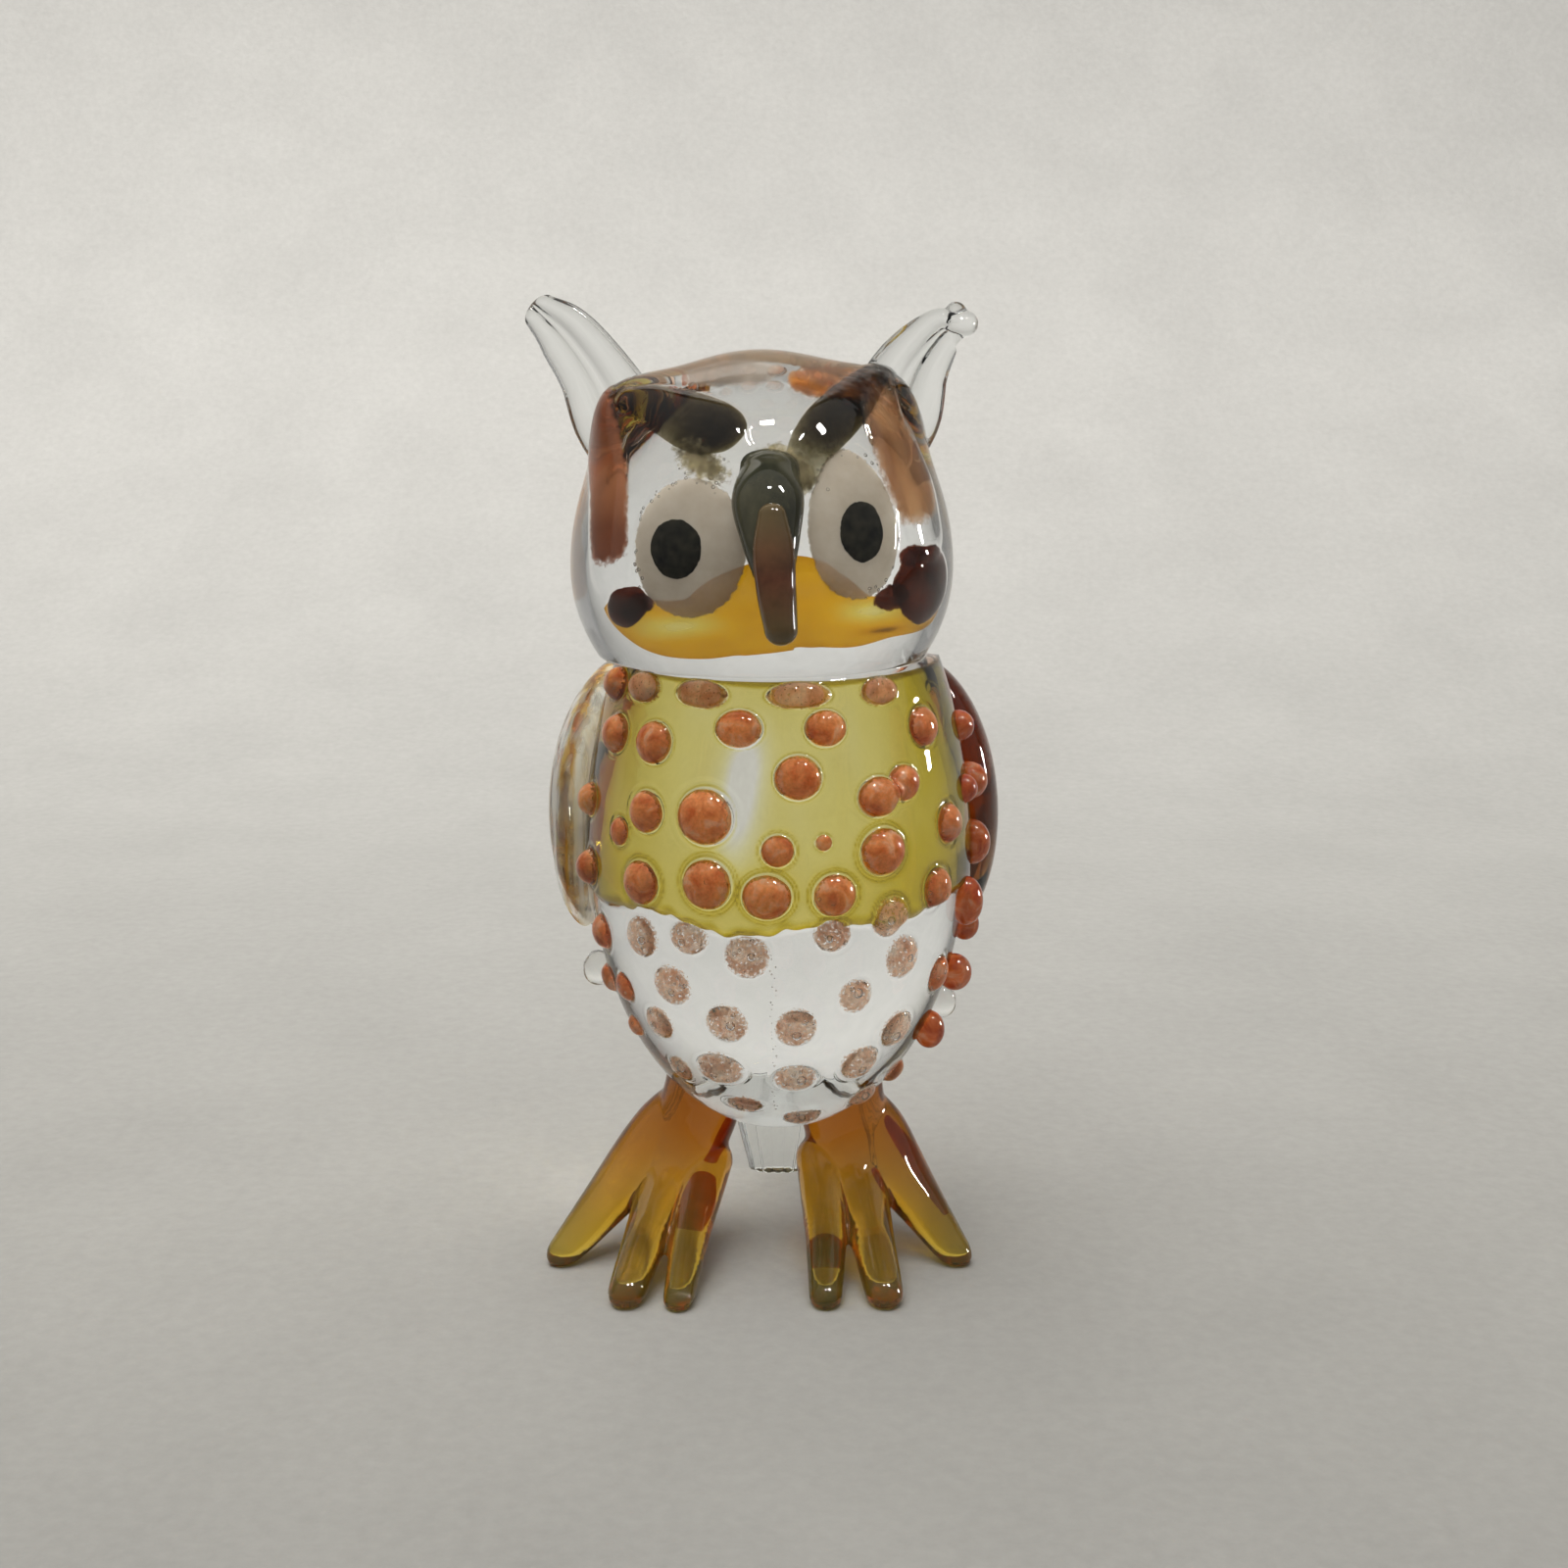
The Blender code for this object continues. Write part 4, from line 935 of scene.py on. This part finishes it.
# Dark brown strands inside the legs, along their edges and across the inner toes: painted shade for the dark bands the
# thick glass shows there and the shade between the toes.
PAINTED_SHADE_STRANDS = (
    ((-3.5, 0.0, 10.6, 0.3, 0.3), (-4.5, -0.4, 8.0, 0.6, 0.6), (-5.3, -1.4, 6.0, 0.4, 0.4)),
    ((-5.6, -3.4, 5.4, 0.7, 0.5), (-6.0, -5.6, 4.4, 1.1, 0.4), (-6.5, -8.0, 3.3, 0.7, 0.3)),
    ((8.6, 0.6, 8.8, 0.3, 0.3), (10.2, -0.9, 6.9, 0.6, 0.5), (11.7, -2.9, 4.8, 0.5, 0.5), (13.0, -4.6, 3.1, 0.2, 0.2)),
    ((7.6, -2.8, 5.8, 0.3, 0.3), (8.1, -3.8, 4.4, 0.4, 0.4), (8.6, -4.8, 3.0, 0.2, 0.2)),
    ((3.85, -9.6, 2.4, 1.1, 1.1), (3.85, -10.4, 2.1, 1.1, 1.1)),
)


def stand(points):
    """The points with what would be under the floor slumped onto it, with rounded edges."""
    points[:, 2] = (points[:, 2] + np.sqrt(points[:, 2] ** 2 + SLUMP**2)) / 2
    points[:, 2] -= points[:, 2].min() if points[:, 2].min() < SLUMP else 0.0
    return points


def fuse(meshes, voxel=0.2, rounds=14):
    """Overlapping meshes run together as molten glass does."""
    verts, faces, _ = join(*meshes)
    lump = show("lump", mesh_data("lump", verts * MM, faces))
    melt = lump.modifiers.new("melt", "REMESH")
    melt.mode = "VOXEL"
    melt.voxel_size = voxel * MM
    flow = lump.modifiers.new("flow", "SMOOTH")
    flow.factor = 0.5
    flow.iterations = rounds
    fused = bpy.data.meshes.new_from_object(lump.evaluated_get(bpy.context.evaluated_depsgraph_get()))
    bpy.data.objects.remove(lump)
    points = np.empty(len(fused.vertices) * 3)
    fused.vertices.foreach_get("co", points)
    points = stand(points.reshape(-1, 3) / MM)
    polygons = [list(polygon.vertices) for polygon in fused.polygons]
    bpy.data.meshes.remove(fused)
    return points, polygons, np.zeros((len(points), 2))


def add_legs():
    """Amber glass, yellow where it is thin at the toes and brown where it is deep, with dark strands of painted shade
    in it.
    """
    amber = Look("amber_legs", (0.7, 0.4, 0.1), transmission=0.93).absorb((0.045, 0.13, 0.36))
    amber.colour(amber.along(2), (0.0012, (0.86, 0.78, 0.18)), (0.0042, (0.78, 0.56, 0.10)),
                 (0.0078, (0.68, 0.34, 0.05)), (0.0140, (0.54, 0.23, 0.035)))
    amber.bump(amber.noise(0.4, 2, stretch=(1, 1, 0.4)), 0.06)
    # Painted shade: dark strands set along the leg edges and between the toes.
    shade_strand = inlay("leg_strand", (0.62, 0.30, 0.22)).absorb((0.6, 2.0, 2.8))
    shade_strand.colour(shade_strand.noise(0.6, 3), (0.35, (0.50, 0.17, 0.12)), (0.65, (0.85, 0.40, 0.30)))
    add_piece("leg_strands", join(*[rod(route, count=24, sides=20) for route in PAINTED_SHADE_STRANDS]), shade_strand.made, "amber_glass")
    for side, routes in LEGS.items():
        rods = [rod(route, count=36, sides=24, ends=(1, 1.4)) for route in routes]
        nodes = [f"{side}_leg", *[f"{side}_{toe}_toe" for toe in ("middle", "outer", "inner")]]
        add_piece(f"{side}_leg_and_toes", seat(fuse(rods), BODY), amber.made, "amber_glass", *nodes)


def add_tail():
    clear = clear_look("tail_clear", (0.965, 0.985, 0.985))
    route = ((0.2, 8.8, 16.4, 2.6, 1.2), (0.2, 11.0, 11.5, 3.8, 1.4), (0.2, 11.9, 6.0, 3.8, 1.4),
             (0.2, 11.8, 0.7, 2.6, 1.3))
    verts, faces, uv = seat(rod(route, count=70, sides=80, ends=(1, 1.8), ridges=7, ridge_depth=0.16), BODY)
    add_piece("tail_ridged", (stand(verts), faces, uv), clear, "clear_glass", "tail_plume")


# --- stage
def add_stage():
    """A pale sweep: a soft grey floor that curves up into a wall behind the owl. Its colour is graded by place as
    painted light and shade: darkest on the floor just in front of the owl, lighter farther forward, lightest up the
    wall.
    """
    reach, start, bend, top = 8.0, 0.13, 0.22, 1.1
    turns = np.linspace(0, math.pi / 2, 24)
    profile = [(-reach, 0.0), (-0.5, 0.0), (0.0, 0.0)]
    profile += [(start + bend * math.sin(t), bend - bend * math.cos(t)) for t in turns]
    profile.append((start + bend, top))
    verts = np.array([(x, y, z) for y, z in profile for x in (-reach, reach)])
    faces = [(2 * i, 2 * i + 1, 2 * i + 3, 2 * i + 2) for i in range(len(profile) - 1)]
    sweep = show("pale_sweep", mesh_data("pale_sweep", verts, faces))
    look = Look("pale_felt", (0.5, 0.5, 0.5), roughness=1.0, transmission=0.0, specular=0.0)
    # Painted light and shade: the grey is graded by place, darkest on the floor in front of the owl and lightest up
    # the wall.
    place = look.math("MULTIPLY", look.plus(look.along(1), look.along(2), 0.6), 1.6)
    graded = look.ramp(look.math("ADD", place, 0.45),
                       (0.0, (0.42, 0.415, 0.40)), (0.20, (0.22, 0.217, 0.206)), (0.45, (0.36, 0.354, 0.336)),
                       (0.68, (0.47, 0.464, 0.446)), (0.95, (0.60, 0.592, 0.572)))
    cloud = look.ramp(look.noise(0.045, 3), (0.3, 0.93), (0.7, 1.0))
    pile = look.ramp(look.noise(0.8, 4, 0.6), (0.25, 0.90), (0.75, 1.0))
    for shade in (cloud, pile):
        graded = look.mix(None, graded, shade)
    look.link(graded, "Base Color")
    look.bump(look.noise(0.9, 4), 0.25)
    sweep.data.materials.append(look.made)


def add_light():
    """A bright room above and behind the owl, a dim one behind the camera, and small ceiling lamps."""
    world = bpy.data.worlds.new("room")
    world.use_nodes = True
    bpy.context.scene.world = world
    tree = world.node_tree
    facing = add_node(tree, "VectorMath")
    facing.operation = "DOT_PRODUCT"
    linked(tree, add_node(tree, "TexCoord").outputs["Generated"], facing.inputs[0])
    linked(tree, (0.0, 0.45, 0.89), facing.inputs[1])
    half = add_node(tree, "Math")
    half.operation = "MULTIPLY_ADD"
    for socket, value in zip(half.inputs, (facing.outputs["Value"], 0.5, 0.5)):
        linked(tree, value, socket)
    stops = [(place, (grey, grey * 0.985, grey * 0.955)) for place, grey in ((0.3, 0.15), (0.6, 0.32), (0.9, 0.50))]
    linked(tree, add_ramp(tree, half.outputs[0], stops), tree.nodes["Background"].inputs["Color"])
    top = add_lamp("soft_top", (-0.12, 0.05, 0.7), (0.0, 0.15, 0.0), (0.7, 0.6), 6.5)
    top.visible_glossy = top.visible_transmission = False
    for name, at, size, watts in (("ceiling_strip", (0.20, -0.09, 0.45), (0.03, 0.09), 1.0),
                                  ("ceiling_spot", (0.02, -0.12, 0.45), (0.045, 0.02), 0.5),
                                  ("side_window", (0.48, 0.10, 0.08), (0.03, 0.09), 1.0)):
        lamp = add_lamp(name, at, (0.0, 0.0, 0.04), size, watts)
        lamp.visible_diffuse = lamp.visible_transmission = False


def place(name, data, at, aim):
    """A lamp or camera at a point, turned to look at another, in metres."""
    made = show(name, data)
    made.location = at
    made.rotation_euler = (Vector(aim) - Vector(at)).to_track_quat("-Z", "Y").to_euler()
    return made


def add_lamp(name, at, aim, size, watts):
    light = bpy.data.lights.new(name, "AREA")
    light.shape = "RECTANGLE"
    light.size, light.size_y = size
    light.energy = watts
    light.color = (1.0, 0.985, 0.95)
    return place(name, light, at, aim)


def add_camera():
    camera = bpy.data.cameras.new("camera")
    camera.lens = CAMERA_LENS
    camera.sensor_width = 36
    camera.clip_start = 0.005
    at, aim = ((Vector(point) + Vector(SHIFT)) * MM for point in (CAMERA_AT, CAMERA_AIM))
    bpy.context.scene.camera = place("camera", camera, at, aim)


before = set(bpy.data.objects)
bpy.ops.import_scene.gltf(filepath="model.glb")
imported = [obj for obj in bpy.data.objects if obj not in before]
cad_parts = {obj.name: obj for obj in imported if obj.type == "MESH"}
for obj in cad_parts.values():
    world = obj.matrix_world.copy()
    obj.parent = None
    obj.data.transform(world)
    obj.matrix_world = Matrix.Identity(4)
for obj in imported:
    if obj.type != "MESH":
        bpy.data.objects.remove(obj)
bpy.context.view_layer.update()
low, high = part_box("body_gather")
SHIFT = np.array([(low[0] + high[0]) / 2 / MM - BODY_CENTRE[0], (low[1] + high[1]) / 2 / MM - BODY_CENTRE[1], 0.0])
add_camera()
raise_body()
raise_head()
add_skin()
add_casing()
add_drops()
add_face()
add_brows()
add_beak()
add_ears()
add_wings()
add_legs()
add_tail()
add_stage()
add_light()
bpy.context.scene.view_settings.view_transform = "Standard"
